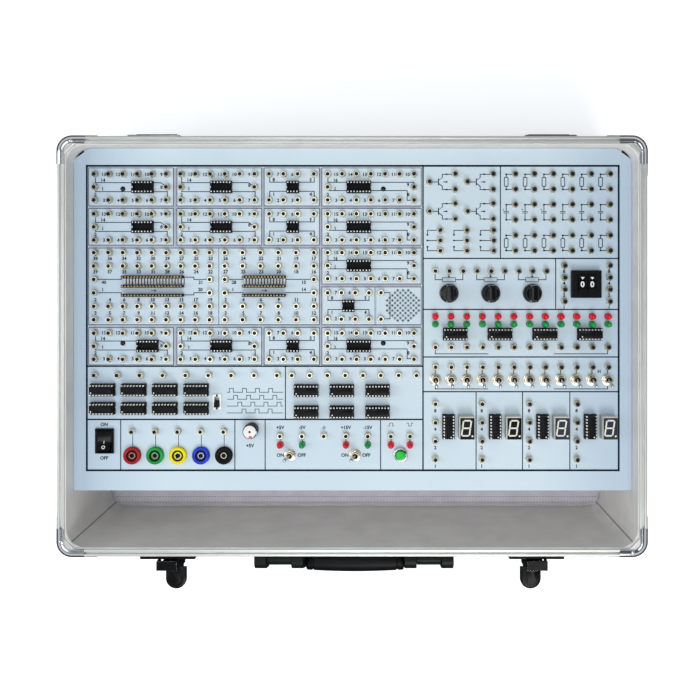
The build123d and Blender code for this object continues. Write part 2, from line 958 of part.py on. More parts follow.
def make_knob(x):
    """Skirted knob with a fluted crown and a pointer, and the shaft that it turns."""
    z0 = knob_clearance
    knob = upright(Circle(knob_radius), z0, knob_skirt)
    knob += upright(RegularPolygon(knob_crown, 12), z0, knob_height - z0, knob_draft)
    half = knob_pointer / 2
    knob += between(-half, half, 0, knob_radius, z0, z0 + knob_skirt + knob_pointer)
    knob -= upright(RegularPolygon(knob_well, 8), 0, pot_neck + knob_clearance)
    knob -= upright(Circle(shaft_radius), 0, shaft_height)
    shaft_z0 = -panel_thickness - pot_depth / 2 + shaft_gap
    shaft = upright(Circle(shaft_radius), shaft_z0, shaft_height - shaft_z0)
    place = Pos(x, knob_row, panel_top)
    return [place * knob, place * shaft]


# ---- number wheels ----
def wheel_axis_z():
    return panel_top + wheel_frame_height + wheel_proud - wheel_radius


def make_wheel_frame():
    """Frame with one well for each number wheel, and the switch body below."""
    bezel = Rectangle(wheel_frame_width, wheel_frame_length)
    inset = 2 * wheel_body_inset
    below = Rectangle(wheel_frame_width - inset, wheel_frame_length - inset)
    well_radius = wheel_radius + wheel_gap
    z_low = wheel_axis_z() - panel_top - well_radius - wheel_body_inset
    frame = upright(bezel, 0, wheel_frame_height) + upright(below, z_low, -z_low)
    frame = Pos(wheel_block_x, wheel_block_y, panel_top) * frame
    for side in (-1, 1):
        x = wheel_block_x + side * wheel_pitch / 2
        width = wheel_width + 2 * wheel_gap
        frame -= side_disc(well_radius, width, x, wheel_block_y, wheel_axis_z())
    return [frame]


def make_number_wheel(side):
    x = wheel_block_x + side * wheel_pitch / 2
    return [side_disc(wheel_radius, wheel_width, x, wheel_block_y, wheel_axis_z())]


# ---- terminals ----
def make_terminals():
    """Flanged laboratory socket with flats on its stem and a bore for a plug."""
    seat = terminal_flange - terminal_well_depth
    terminal = upright(Circle(terminal_radius), 0, terminal_flange)
    terminal -= upright(RegularPolygon(terminal_well, 16), seat, terminal_well_depth)
    terminal += upright(RegularPolygon(terminal_stem, 8), -terminal_depth, terminal_depth)
    terminal -= upright(Circle(terminal_bore), seat - terminal_reach, terminal_reach)
    return at_places(terminal, grid(terminal_columns, [terminal_row]), panel_top)


# ---- electronics ----
def make_panel_screws():
    head = extrude(RegularPolygon(screw_radius, 6), screw_height)
    return at_places(head, grid(post_columns, post_rows), panel_top)


def make_circuit_board():
    """Board on four posts under the panel, with heat sinks and smoothing capacitors."""
    top = panel_under - post_drop
    under = top - circuit_thickness
    post = upright(RegularPolygon(post_radius, 6), top, post_drop)
    posts = at_places(post, grid(post_columns, post_rows), 0)
    card = between(
        post_columns[0] - circuit_margin,
        post_columns[1] + circuit_margin,
        post_rows[1] - circuit_margin,
        post_rows[0] + circuit_margin,
        under,
        top,
    )
    centre = middle(post_rows)
    sinks = at_places(heat_sink(), grid(heat_sink_columns, [centre]), under)
    can = upright(RegularPolygon(capacitor_radius, 12), -capacitor_height, capacitor_height)
    cans = at_places(can, grid(capacitor_columns, [centre + capacitor_shift]), under)
    return posts + [card] + sinks + cans


def heat_sink():
    """Comb of fins hanging from its base."""
    width = heat_sink_pitch * (heat_sink_fins - 1) + heat_sink_fin
    comb = Pos(0, -heat_sink_base / 2) * Rectangle(width, heat_sink_base)
    for fin in range(heat_sink_fins):
        x = (fin - (heat_sink_fins - 1) / 2) * heat_sink_pitch
        comb += Pos(x, -heat_sink_height / 2) * Rectangle(heat_sink_fin, heat_sink_height)
    return extrude(Plane.XZ * comb, heat_sink_length / 2, both=True)


def make_transformer():
    """Laminated core with its coil through both windows."""
    base = floor_z
    core = between(
        -core_length / 2, core_length / 2, -core_width / 2, core_width / 2, base, base + core_height
    )
    coil_z0 = base + (core_height - coil_height) / 2
    coil = between(
        -coil_length / 2,
        coil_length / 2,
        -coil_width / 2,
        coil_width / 2,
        coil_z0,
        coil_z0 + coil_height,
    )
    return [Pos(transformer_x, transformer_y, 0) * (core + coil)]


def make_mains_inlet():
    """Recessed appliance inlet in the left wall, with three blades."""
    face_x = -half_length + skin
    flange = Rectangle(inlet_flange_length, inlet_flange_height)
    flange = chamfer(flange.vertices(), inlet_cut)
    body = Rectangle(inlet_body_length, inlet_body_height)
    well = Rectangle(inlet_well_length, inlet_well_height)
    well = chamfer(well.vertices().sort_by(Axis.Y)[-2:], inlet_cut)
    inlet = upright(flange, 0, inlet_flange) + upright(body, -inlet_depth, inlet_depth)
    inlet -= upright(well, inlet_flange - inlet_well_depth, inlet_well_depth)
    blade_z = inlet_flange - inlet_well_depth
    blade = Rectangle(inlet_blade_width, inlet_blade_length)
    blade = upright(blade, blade_z, inlet_well_depth - inlet_blade_gap)
    for side in (-1, 0, 1):
        rise = -inlet_blade_rise if side else inlet_blade_rise
        inlet += Pos(side * inlet_pin_pitch, rise, 0) * blade
    place = Plane((face_x, inlet_y, inlet_z), x_dir=(0, -1, 0), z_dir=(-1, 0, 0))
    return [place * inlet]


# ---- handle ----
def handle_pin_y():
    return -half_width - handle_stand


def handle_pin_z():
    return case_height - handle_drop


def make_handle_brackets():
    """Riveted plates with a gusset and the barrel that holds the hinge pin."""
    y_wall = -wall_face_y
    half_plate = handle_pin_length / 2 + bracket_margin
    pieces = []
    for side in (-1, 1):
        x = side * handle_barrel_x()
        plate = between(
            x - half_plate,
            x + half_plate,
            y_wall - bracket_plate,
            y_wall,
            handle_pin_z() - bracket_height / 2,
            handle_pin_z() + bracket_height / 2,
        )
        web = between(
            x - barrel_length / 2,
            x + barrel_length / 2,
            handle_pin_y() - barrel_radius,
            y_wall,
            handle_pin_z() - stop_height,
            handle_pin_z() + gusset / 2,
        )
        stop_face = bridge_thickness / 2 + stop_gap
        swing = (-2 * handle_stand, stop_face, -2 * stop_height, 0)
        web -= leaned(between(x - barrel_length, x + barrel_length, *swing))
        barrel = side_disc(barrel_radius, barrel_length, x, handle_pin_y(), handle_pin_z())
        pin = side_disc(handle_pin_radius, handle_pin_length, x, handle_pin_y(), handle_pin_z())
        pieces.append(plate + web + barrel + pin)
    return pieces


def handle_barrel_x():
    """Middle of each bracket's barrel."""
    return grip_length / 2 + lug_width + lug_gap + barrel_length / 2


def lug(drop, end_radius, x):
    """Tapered lug hanging from the pin, made before the handle leans out."""
    near = Circle(lug_radius)
    far = Pos(0, -drop) * Circle(end_radius)
    outline = make_hull(near.edges() + far.edges())
    outline -= Circle(handle_pin_radius + handle_pin_gap)
    return Pos(x, 0, 0) * extrude(Plane.YZ * outline, lug_width / 2, both=True)


def leaned(piece):
    """A piece of the handle turned about the pin to where it hangs on its stop."""
    return Pos(0, handle_pin_y(), handle_pin_z()) * Rot(-handle_lean, 0, 0) * piece


def make_handle_frame():
    """Two forked ends: an inner and an outer lug joined below the barrel."""
    inner_x = grip_length / 2 + lug_width / 2
    outer_x = inner_x + lug_width + barrel_length + 2 * lug_gap
    forks = []
    for side in (-1, 1):
        bridge = between(
            side * inner_x,
            side * outer_x,
            -bridge_thickness / 2,
            bridge_thickness / 2,
            -bridge_far,
            -bridge_near,
        )
        fork = lug(arm_length, arm_end_radius, side * inner_x)
        fork += lug(outer_lug_drop, arm_end_radius, side * outer_x)
        forks.append(leaned(fork + bridge))
    return forks


def make_handle_grip():
    """Grip between the inner lugs, straight in the middle and tapered to both ends."""
    half = grip_length / 2
    flat = grip_straight / 2
    right_side = [(flat, grip_radius), (half, grip_end_radius), (half, 0)]
    left_side = [(-x, y) for x, y in reversed(right_side)]
    grip = revolve(make_face(Polyline(*left_side, *right_side, close=True)), Axis.X)
    return [leaned(Pos(0, 0, -arm_length) * grip)]


# ---- latches ----
def latch_face_y():
    return -half_width - latch_plate


def latch_pivot():
    """The (y, z) of the lever's pin."""
    return latch_face_y() - latch_stand, case_height - latch_pivot_drop


def claw_pivot():
    """The (y, z) of the claw's pin on the open lever."""
    y, z = latch_pivot()
    reach = claw_crank * math.sqrt(0.5)
    return y - reach, z + reach


def claw_inner():
    return knuckle_width / 2 + latch_side_gap


def cheek_inner():
    return claw_inner() + claw_sheet + latch_side_gap


def make_latch_plates():
    """Riveted plates with two cheeks and the lever's pin."""
    y, z = latch_pivot()
    top = case_height - latch_top_gap
    pieces = []
    for side in (-1, 1):
        x = side * latch_x
        plate = between(
            x - latch_plate_length / 2,
            x + latch_plate_length / 2,
            latch_face_y(),
            -half_width,
            top - latch_plate_height,
            top,
        )
        piece = plate
        for turn in (-1, 1):
            cheek_x = x + turn * (cheek_inner() + latch_cheek / 2)
            piece += side_disc(latch_cheek_radius, latch_cheek, cheek_x, y, z)
            piece += between(
                cheek_x - latch_cheek / 2,
                cheek_x + latch_cheek / 2,
                y,
                latch_face_y(),
                z - latch_cheek_radius,
                z + latch_cheek_radius,
            )
        pin_length = 2 * (cheek_inner() + latch_cheek)
        pieces.append(piece + side_disc(latch_pin_radius, pin_length, x, y, z))
    return pieces


def make_latch_lever(side):
    """Open lever: knuckle on the plate's pin, boss for the claw's pin, round-ended tongue."""
    y, z = latch_pivot()
    claw_y, claw_z = claw_pivot()
    x = side * latch_x
    bore = latch_pin_radius + latch_pin_gap
    knuckle = side_disc(knuckle_radius, knuckle_width, x, y, z)
    boss = side_disc(knuckle_radius, knuckle_width, x, claw_y, claw_z)
    half = tongue_thickness / 2
    neck = between(
        x - knuckle_width / 2, x + knuckle_width / 2, y - tongue_start, y, z - half, z + half
    )
    link = [(y + half, z), (claw_y, claw_z), (claw_y - half, claw_z), (y - tongue_start, z)]
    gusset_plate = side_outline(link, knuckle_width, x)
    radius = tongue_width / 2
    tip_y = y - tongue_reach
    tongue = between(x - radius, x + radius, tip_y + radius, y - tongue_start, z - half, z + half)
    tongue += Pos(x, tip_y + radius, z) * Cylinder(radius, tongue_thickness)
    lever = knuckle + boss + neck + gusset_plate + tongue
    lever -= side_disc(bore, 2 * knuckle_width, x, y, z)
    lever -= side_disc(bore, 2 * knuckle_width, x, claw_y, claw_z)
    return [lever]


def make_latch_claw(side):
    """Bent claw: two cranked arms, a front web and a hooked head, on its own pin."""
    claw_y, claw_z = claw_pivot()
    x = side * latch_x
    back = latch_face_y() - claw_wall_gap
    front = latch_face_y() - claw_reach
    top = case_height + claw_rise
    arm_points = [
        (back, top),
        (front, top),
        (front, top - claw_head),
        (claw_y - claw_arm, claw_z + claw_straight),
        (claw_y - claw_arm, claw_z - claw_arm),
        (claw_y + claw_arm, claw_z - claw_arm),
        (claw_y + claw_arm, claw_z + claw_straight),
        (front + 2 * claw_arm, top - claw_head),
        (back, top - claw_head),
    ]
    outer = claw_inner() + claw_sheet
    claw = side_outline(arm_points, 2 * outer, x)
    slot_points = [
        (back + claw_sheet, top - claw_sheet),
        (front + claw_sheet, top - claw_sheet),
        (front + claw_sheet, top - claw_head),
        (claw_y - 2 * claw_arm, claw_z + claw_straight),
        (claw_y - 2 * claw_arm, claw_z - 2 * claw_arm),
        (back + claw_sheet, claw_z - 2 * claw_arm),
    ]
    claw -= side_outline(slot_points, 2 * claw_inner(), x)
    claw += side_disc(latch_pin_radius, 2 * outer, x, claw_y, claw_z)
    return [claw]


def make_hinge_halves():
    """Plates on the rear of the rim with a strap that the lid's tongue slides down behind."""
    top = case_height - hinge_top_gap
    plate = between(
        -hinge_length / 2,
        hinge_length / 2,
        half_width,
        half_width + hinge_plate,
        top - hinge_height,
        top,
    )
    strap_top = top - (hinge_height - hinge_strap_height) / 2
    strap_y = half_width + hinge_plate
    strap = between(
        -hinge_strap_length / 2,
        hinge_strap_length / 2,
        strap_y,
        strap_y + hinge_slot + hinge_strap,
        strap_top - hinge_strap_height,
        strap_top,
    )
    slot = between(
        -hinge_slot_length / 2,
        hinge_slot_length / 2,
        strap_y,
        strap_y + hinge_slot,
        strap_top - hinge_strap_height,
        strap_top,
    )
    half = plate + strap - slot
    return [Pos(side * hinge_x, 0, 0) * half for side in (-1, 1)]


def on_panel(pieces):
    """Pieces of the patch field, moved to keep their place on the panel."""
    return [Pos(0, field_shift, 0) * piece for piece in pieces]


nodes = {
    "base_board": make_base_board(),
    "wall_boards": make_wall_boards(),
    "edge_extrusions": make_edge_extrusions(),
    "rim_extrusion": make_rim_extrusion(),
    "corner_caps": make_corner_caps(),
    "case_feet": make_case_feet(),
    "case_lining": make_case_lining(),
    "floor_pad": make_floor_pad(),
    "panel_supports": make_panel_supports(),
    "panel": make_panel(),
    "panel_screws": on_panel(make_panel_screws()),
    "patch_sockets": on_panel(make_patch_sockets()),
    "chip_sockets": on_panel(make_chip_sockets()),
    "contact_strips": on_panel(make_contact_strips()),
    "logic_chips": on_panel(make_logic_chips()),
    "red_leds": on_panel(make_red_leds()),
    "green_leds": on_panel(make_green_leds()),
    "digit_displays": on_panel(make_digit_displays()),
    "speaker": on_panel(make_speaker()),
    "buzzer": on_panel(make_buzzer()),
    "toggle_bodies": on_panel(make_toggle_bodies()),
    "rocker_frame": on_panel(make_rocker_frame()),
    "power_rocker": on_panel(make_power_rocker()),
    "slide_switch_frame": on_panel(make_slide_switch_frame()),
    "slide_switch_knob": on_panel(make_slide_switch_knob()),
    "button_bezel": on_panel(make_button_bezel()),
    "button_cap": on_panel(make_button_cap()),
    "potentiometers": on_panel(make_potentiometers()),
    "wheel_frame": on_panel(make_wheel_frame()),
    "tens_wheel": on_panel(make_number_wheel(-1)),
    "units_wheel": on_panel(make_number_wheel(1)),
    "terminals": on_panel(make_terminals()),
    "power_supply": on_panel(make_circuit_board()) + make_transformer(),
    "mains_inlet": make_mains_inlet(),
    "handle_brackets": make_handle_brackets(),
    "handle_frame": make_handle_frame(),
    "handle_grip": make_handle_grip(),
    "latch_plates": make_latch_plates(),
    "latch_lever_left": make_latch_lever(-1),
    "latch_lever_right": make_latch_lever(1),
    "latch_claw_left": make_latch_claw(-1),
    "latch_claw_right": make_latch_claw(1),
    "hinge_halves": make_hinge_halves(),
}
for number, column in enumerate(level_columns, 1):
    nodes[f"switch_lever_{number:02d}"] = on_panel(make_switch_lever(column))
for number, column in enumerate(supply_toggle_columns, 1):
    nodes[f"supply_lever_{number}"] = on_panel(make_supply_lever(column))
for number, column in enumerate(knob_columns, 1):
    nodes[f"knob_{number}"] = on_panel(make_knob(column))

boxes = [piece.bounding_box() for pieces in nodes.values() for piece in pieces]
front_edge = min(box.min.Y for box in boxes)
rear_edge = max(box.max.Y for box in boxes)
to_origin = Pos(0, -(front_edge + rear_edge) / 2, 0)

if __name__ == "__main__":
    os.makedirs("parts", exist_ok=True)
    for name, pieces in nodes.items():
        export_step(Compound([to_origin * piece for piece in pieces]), f"parts/{name}.step")
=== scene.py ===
import json
import math
import bpy
from mathutils import Matrix, Vector


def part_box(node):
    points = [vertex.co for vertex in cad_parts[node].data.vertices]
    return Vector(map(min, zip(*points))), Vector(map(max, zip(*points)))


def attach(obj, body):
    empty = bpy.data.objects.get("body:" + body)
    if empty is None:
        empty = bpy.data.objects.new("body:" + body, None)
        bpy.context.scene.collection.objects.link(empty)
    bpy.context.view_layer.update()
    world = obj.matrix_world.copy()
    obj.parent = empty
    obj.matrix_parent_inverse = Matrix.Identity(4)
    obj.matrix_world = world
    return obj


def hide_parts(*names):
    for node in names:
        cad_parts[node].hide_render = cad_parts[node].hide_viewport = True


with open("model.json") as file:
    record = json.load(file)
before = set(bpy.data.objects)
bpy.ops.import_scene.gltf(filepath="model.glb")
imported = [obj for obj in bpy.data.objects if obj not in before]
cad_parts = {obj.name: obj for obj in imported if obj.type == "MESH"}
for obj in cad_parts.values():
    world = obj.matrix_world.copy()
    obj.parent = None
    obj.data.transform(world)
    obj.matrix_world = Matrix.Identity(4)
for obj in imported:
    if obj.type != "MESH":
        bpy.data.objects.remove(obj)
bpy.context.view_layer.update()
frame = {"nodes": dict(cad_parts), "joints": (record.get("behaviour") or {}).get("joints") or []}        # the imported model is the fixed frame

scene = bpy.context.scene
caseLow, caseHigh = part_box("rim_extrusion")
caseY = (caseLow.y + caseHigh.y) / 2          # the case's middle in the row frame
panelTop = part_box("panel")[1].z
jointPlace = {joint["name"]: Vector(joint["pos_m"]) for joint in frame["joints"] if "pos_m" in joint}
quarter = math.pi / 2
pinPitch = 2.54              # mm between the pins of chips, sockets and strips


def at(x, y, z=0.0):
    # millimetres from the middle of the case, and above the panel, to metres in the row frame
    return Vector((x / 1000, y / 1000 + caseY, panelTop + z / 1000))


# ---- materials ----
def hexColour(text):
    parts = [int(text[i:i + 2], 16) / 255 for i in (1, 3, 5)]
    return [c / 12.92 if c <= 0.04045 else ((c + 0.055) / 1.055) ** 2.4 for c in parts] + [1.0]


def addNode(material, kind, settings={}, values={}, links={}):
    node = material.node_tree.nodes.new(kind)
    for name, value in settings.items():
        setattr(node, name, value)
    for name, value in values.items():
        node.inputs[name].default_value = value
    for name, socket in links.items():
        material.node_tree.links.new(socket, node.inputs[name])
    return node


def newMaterial(name, colour, shade, roughness, metallic, patch, grain, bump,
                stretch=(1, 1, 1), spread=0.08, shader={}):
    # patch and grain are the sizes in mm of the colour patches and of the surface grain
    material = bpy.data.materials.new(name)
    material.use_nodes = True
    surface = material.node_tree.nodes["Principled BSDF"]
    surface.inputs["Metallic"].default_value = metallic
    for socket, value in shader.items():
        surface.inputs[socket].default_value = value
    place = addNode(material, "ShaderNodeTexCoord").outputs["Object"]
    place = addNode(material, "ShaderNodeMapping", values={"Scale": stretch},
                    links={"Vector": place}).outputs["Vector"]
    patches = addNode(material, "ShaderNodeTexNoise", values={"Scale": 1000 / patch, "Detail": 3.0},
                      links={"Vector": place})
    ramp = addNode(material, "ShaderNodeValToRGB", links={"Fac": patches.outputs["Fac"]})
    for stop, position, tone in zip(ramp.color_ramp.elements, (0.35, 0.65), (shade, colour)):
        stop.position = position
        stop.color = hexColour(tone)
    fine = addNode(material, "ShaderNodeTexNoise", values={"Scale": 1000 / grain, "Detail": 2.0},
                   links={"Vector": place})
    rough = addNode(material, "ShaderNodeMapRange",
                    values={"To Min": roughness - spread, "To Max": roughness + spread},
                    links={"Value": fine.outputs["Fac"]})
    relief = addNode(material, "ShaderNodeBump", values={"Distance": bump / 1000, "Strength": 1.0},
                     links={"Height": fine.outputs["Fac"]})
    link = material.node_tree.links.new
    link(ramp.outputs["Color"], surface.inputs["Base Color"])
    link(rough.outputs["Result"], surface.inputs["Roughness"])
    link(relief.outputs["Normal"], surface.inputs["Normal"])
    return material


plain = {}
coated = {"shader": {"Coat Weight": 0.12, "Coat Roughness": 0.06, "Specular IOR Level": 0.25}}
dull = {"shader": {"Specular IOR Level": 0.12}}


def lit(colour, strength):
    # painted glow: the unlit lens gives off a little light of its own, so it reads bright and saturated
    glow = {"Emission Color": (*colour, 1), "Emission Strength": strength}
    return {"spread": 0.03, "shader": {**glow, **coated["shader"]}}


def napped(sheen):
    return {"spread": 0.05, "shader": {"Sheen Weight": sheen, "Sheen Roughness": 0.6}}


# material, colour, shade, roughness, metallic, patch, grain, bump (mm), and its other settings
finishes = {
    # anodised aluminium: pale satin metal with a soft, even shine
    "aluminium": ("anodisedAluminium", "#DDDFDB", "#D6D8D5", 0.34, 0.6, 30, 0.5, 0.004, plain),
    # chrome on steel: mirror-like, only a little soft
    "chrome": ("chromedSteel", "#CBCDD0", "#C3C5C9", 0.07, 1.0, 30, 1.2, 0.002, {"spread": 0.03}),
    # nickel plate over brass: warm champagne shine
    "nickel": ("nickelPlatedBrass", "#E6E0CF", "#C6BCA2", 0.25, 1.0, 5, 0.4, 0.003, plain),
    # near black: painted shade in the shallow holes, bores, pits and slots of sockets, contacts, terminals,
    # screw heads and the grille, and the colour of the small black screws of the slide switch
    "socketHole": ("tarnishedSpring", "#0A0806", "#15110B", 0.6, 0.0, 2, 0.3, 0.002, plain),
    # polycarbonate sheet printed on its back: pale blue-grey with a satin skin
    "panel": ("printedPolycarbonate", "#CFDFE9", "#C6D8E4", 0.42, 0.0, 160, 0.5, 0.003, plain),
    # screen ink: thin and matt, almost black blue
    "ink": ("screenInkNavy", "#0A0F1D", "#101726", 0.6, 0.0, 8, 0.4, 0.002, dull),
    "thinInk": ("screenInkSlate", "#0D1322", "#141A2B", 0.6, 0.0, 8, 0.4, 0.002, dull),
    "band": ("screenInkMauve", "#A6ABBC", "#ADB2C2", 0.5, 0.0, 30, 0.4, 0.002, plain),
    "paleInk": ("screenInkWhite", "#E8EEF2", "#DDE6EC", 0.5, 0.0, 30, 0.4, 0.002, plain),
    # glass-filled nylon of the chip sockets: black with a dull grain
    "socketNylon": ("glassFilledNylon", "#07080A", "#0D0E11", 0.5, 0.0, 6, 0.25, 0.01, dull),
    # epoxy moulding of the chips: charcoal, finely blasted
    "chipEpoxy": ("mouldedEpoxy", "#0B0C0F", "#131418", 0.42, 0.0, 9, 0.2, 0.008, dull),
    # contacts: bright silver-white tin and pale gold
    "tin": ("tinnedBronze", "#FBFAF4", "#EEEDE6", 0.35, 0.3, 3, 0.3, 0.002, plain),
    "gold": ("goldPlatedContact", "#D8BE8C", "#B89C66", 0.3, 0.6, 3, 0.3, 0.002, plain),
    # diffused epoxy lens: saturated and glossy, with a painted glow though the light is off
    "redLens": ("redDiffusedEpoxy", "#DD0E1E", "#B90A18", 0.14, 0.0, 6, 0.8, 0.001,
                lit((0.8, 0.01, 0.02), 0.05)),
    "greenLens": ("greenDiffusedEpoxy", "#0F9C48", "#0B8239", 0.14, 0.0, 6, 0.8, 0.001,
                  lit((0.01, 0.5, 0.08), 0.04)),
    # display: dark filter face, pale potting at the sides, cream segments
    "filter": ("darkFilterPlastic", "#07080B", "#0C0E12", 0.22, 0.0, 12, 0.5, 0.001, coated),
    "hazyFilter": ("hazyFilterPlastic", "#343A4A", "#2C3240", 0.3, 0.0, 12, 0.5, 0.001, coated),
    "potting": ("paleHousingPlastic", "#C9CBC4", "#B9BBB4", 0.4, 0.0, 9, 0.5, 0.004, plain),
    "segment": ("creamSegmentResin", "#F1F0E2", "#E4E2D0", 0.35, 0.0, 4, 0.4, 0.002, plain),
    # black mouldings, glossy or spark-eroded, and the white printed on them
    "glossBlack": ("glossBlackAbs", "#060608", "#0B0C0E", 0.14, 0.0, 12, 0.9, 0.002,
                   {"spread": 0.04, **coated}),
    "mattBlack": ("texturedBlackAbs", "#08090B", "#101114", 0.5, 0.0, 10, 0.3, 0.02, dull),
    "whitePrint": ("whitePadPrint", "#F0F1F0", "#E1E3E2", 0.5, 0.0, 4, 0.3, 0.002, plain),
    # nylon of the laboratory terminals: strong, even colours with a soft shine
    "redNylon": ("redMouldedNylon", "#A5060F", "#93040B", 0.3, 0.0, 9, 0.6, 0.003, coated),
    "greenNylon": ("greenMouldedNylon", "#009E3E", "#008835", 0.3, 0.0, 9, 0.6, 0.003, coated),
    "yellowNylon": ("yellowMouldedNylon", "#F3E405", "#E5D400", 0.3, 0.0, 9, 0.6, 0.003, coated),
    "blueNylon": ("blueMouldedNylon", "#0B35C8", "#092DAF", 0.3, 0.0, 9, 0.6, 0.003, coated),
    "blackNylon": ("blackMouldedNylon", "#08090B", "#0E0F12", 0.3, 0.0, 9, 0.6, 0.003, dull),
    # push button cap: bright green and slippery
    "greenAcetal": ("greenAcetal", "#12C83C", "#0FB536", 0.26, 0.0, 5, 0.6, 0.002, coated),
    # paper seal on the buzzer, and its red ink
    "paper": ("coatedPaper", "#F4F3F1", "#E6E4E2", 0.6, 0.0, 5, 0.3, 0.01, plain),
    "redInk": ("redPrintInk", "#D01F26", "#B8181F", 0.5, 0.0, 5, 0.3, 0.002, plain),
    # flocked felt: warm pale grey, very matt, a faint sheen at grazing angles
    "felt": ("flockedFelt", "#E3E1DE", "#D9D7D4", 0.92, 0.0, 22, 0.7, 0.12, napped(0.25)),
    # needle felt pad, cooler and softer, and the thread that hems it
    "padCloth": ("needleFeltCloth", "#ECE8F1", "#E2DEE8", 0.9, 0.0, 14, 0.9, 0.18, napped(0.3)),
    "thread": ("polyesterThread", "#98959F", "#87848E", 0.7, 0.0, 2, 0.2, 0.02, plain),
    # silver laminate pressed on board: ribbed skin, half matt
    "laminate": ("silverLaminate", "#BEC2C6", "#AEB3B7", 0.34, 0.55, 6, 0.9, 0.06,
                 {"stretch": (1, 1, 0.03)}),
    # rubber of the feet and foam: dark grey, without shine
    "rubber": ("mouldedRubber", "#17181A", "#202124", 0.68, 0.0, 9, 0.5, 0.03, plain),
    # black lacquer on pressed steel, grey-green die casting, and grained vinyl
    "lacquer": ("blackStovedSteel", "#050507", "#0A0B0D", 0.28, 0.0, 14, 1.0, 0.004,
                {"spread": 0.06, **dull}),
    "handleSteel": ("greyGreenDieCasting", "#0E1A15", "#09110E", 0.34, 0.0, 9, 0.6, 0.01, dull),
    "gripPvc": ("grainedPvcGrip", "#050608", "#090A0C", 0.4, 0.0, 14, 0.8, 0.05, dull),
    # solder resist of the circuit board: deep green, half glossy
    "greenBoard": ("greenSolderResist", "#1E5A38", "#18492D", 0.35, 0.0, 20, 0.8, 0.01, plain),
}
materials = {name: newMaterial(*row[:-1], **row[-1]) for name, row in finishes.items()}
print("materials made:", len(materials))


# ---- modelling helpers ----
def stopEditing():
    if bpy.context.mode != "OBJECT":
        bpy.ops.object.mode_set(mode="OBJECT")


def deselect():
    stopEditing()
    bpy.ops.object.select_all(action="DESELECT")


def activate(piece):
    deselect()
    piece.select_set(True)
    bpy.context.view_layer.objects.active = piece


def editAll():
    bpy.ops.object.mode_set(mode="EDIT")
    bpy.ops.mesh.select_all(action="SELECT")


def faceOutwards():
    # the last step in edit mode
    bpy.ops.mesh.select_all(action="SELECT")
    bpy.ops.mesh.normals_make_consistent(inside=False)
    stopEditing()


def extrude(x, y, z):
    bpy.ops.mesh.extrude_region_move(TRANSFORM_OT_translate={"value": (x / 1000, y / 1000, z / 1000)})


def modify(piece, kind, **settings):
    # a modifier, applied at once
    activate(piece)
    modifier = piece.modifiers.new("step", kind)
    for name, value in settings.items():
        setattr(modifier, name, value)
    bpy.ops.object.modifier_apply(modifier=modifier.name)


def smooth(piece, angle):
    activate(piece)
    bpy.ops.object.shade_smooth_by_angle(angle=math.radians(angle))
    return piece


def named(piece, name, finish):
    piece.name = piece.data.name = name
    piece.data.materials.clear()
    piece.data.materials.append(materials[finish])
    return piece


def linked(name, data):
    piece = bpy.data.objects.new(name, data)
    scene.collection.objects.link(piece)
    return piece


def carry(piece, place):
    # by metres, as shift does by millimetres
    piece.data.transform(Matrix.Translation(place))
    return piece


def shift(piece, x, y, z):
    return carry(piece, (x / 1000, y / 1000, z / 1000))


def spin(piece, angle, axis="Z"):
    piece.data.transform(Matrix.Rotation(angle, 4, axis))
    return piece


def aim(direction):
    # the turn from upright to a direction
    return Vector((0, 0, 1)).rotation_difference(direction).to_matrix().to_4x4()


def drawn(points):
    # one flat face through points (x, y, z) in mm, left in edit mode
    deselect()
    bpy.ops.mesh.primitive_circle_add(vertices=len(points), radius=0.01, fill_type="NGON",
                                      location=(0, 0, 0), rotation=(0, 0, 0))
    piece = bpy.context.object
    for vertex, point in zip(piece.data.vertices, points):
        vertex.co = Vector(point) / 1000
    editAll()
    return piece


def turned(name, rings, sides, finish):
    # a round piece: one face drawn up through rings of (radius, height) in mm
    deselect()
    radius, height = rings[0]
    bpy.ops.mesh.primitive_circle_add(vertices=sides, radius=radius / 1000, fill_type="NGON",
                                      location=(0, 0, 0), rotation=(0, 0, 0))
    piece = shift(bpy.context.object, 0, 0, height)
    editAll()
    for (radius, height), (lastRadius, lastHeight) in zip(rings[1:], rings):
        extrude(0, 0, height - lastHeight)
        grow = radius / lastRadius
        bpy.ops.transform.resize(value=(grow, grow, 1), center_override=(0, 0, height / 1000))
    faceOutwards()
    return named(smooth(piece, 40), name, finish)


def rounded(piece, width, segments=2):
    modify(piece, "BEVEL", width=width / 1000, segments=segments, limit_method="ANGLE",
           angle_limit=math.radians(30))
    smooth(piece, 40)
    modify(piece, "WEIGHTED_NORMAL", keep_sharp=True)          # broad faces stay flat to the eye
    return piece


def block(name, size, centre, finish, bevel=0.0, segments=2, taper=1.0):
    # a moulded block in mm: its top drawn in by taper, its edges rounded
    deselect()
    bpy.ops.mesh.primitive_cube_add(size=1, location=(0, 0, 0))
    piece = bpy.context.object
    piece.data.transform(Matrix.Diagonal([v / 1000 for v in size] + [1]))
    if taper != 1.0:
        pick(piece, upwards)
        bpy.ops.transform.resize(value=(taper, taper, 1), center_override=(0, 0, 0))
        stopEditing()
    shift(piece, *centre)
    if bevel:
        rounded(piece, bevel, segments)
    return named(piece, name, finish)


def upwards(centre, normal):
    return normal.z > 0.9


def downwards(centre, normal):
    return normal.z < -0.9


def pick(piece, test):
    # edit mode, with only the faces picked whose middle (mm) and normal pass the test
    activate(piece)
    bpy.context.tool_settings.mesh_select_mode = (False, False, True)
    for items in (piece.data.vertices, piece.data.edges):
        items.foreach_set("select", [False] * len(items))
    for face in piece.data.polygons:
        face.select = test(face.center * 1000, face.normal)
    bpy.ops.object.mode_set(mode="EDIT")


def pressed(piece, test, steps):
    # the picked faces are inset and raised or sunk, step by step, in mm
    pick(piece, test)
    for border, rise in steps:
        bpy.ops.mesh.inset(thickness=border / 1000, depth=rise / 1000)
    stopEditing()
    return piece


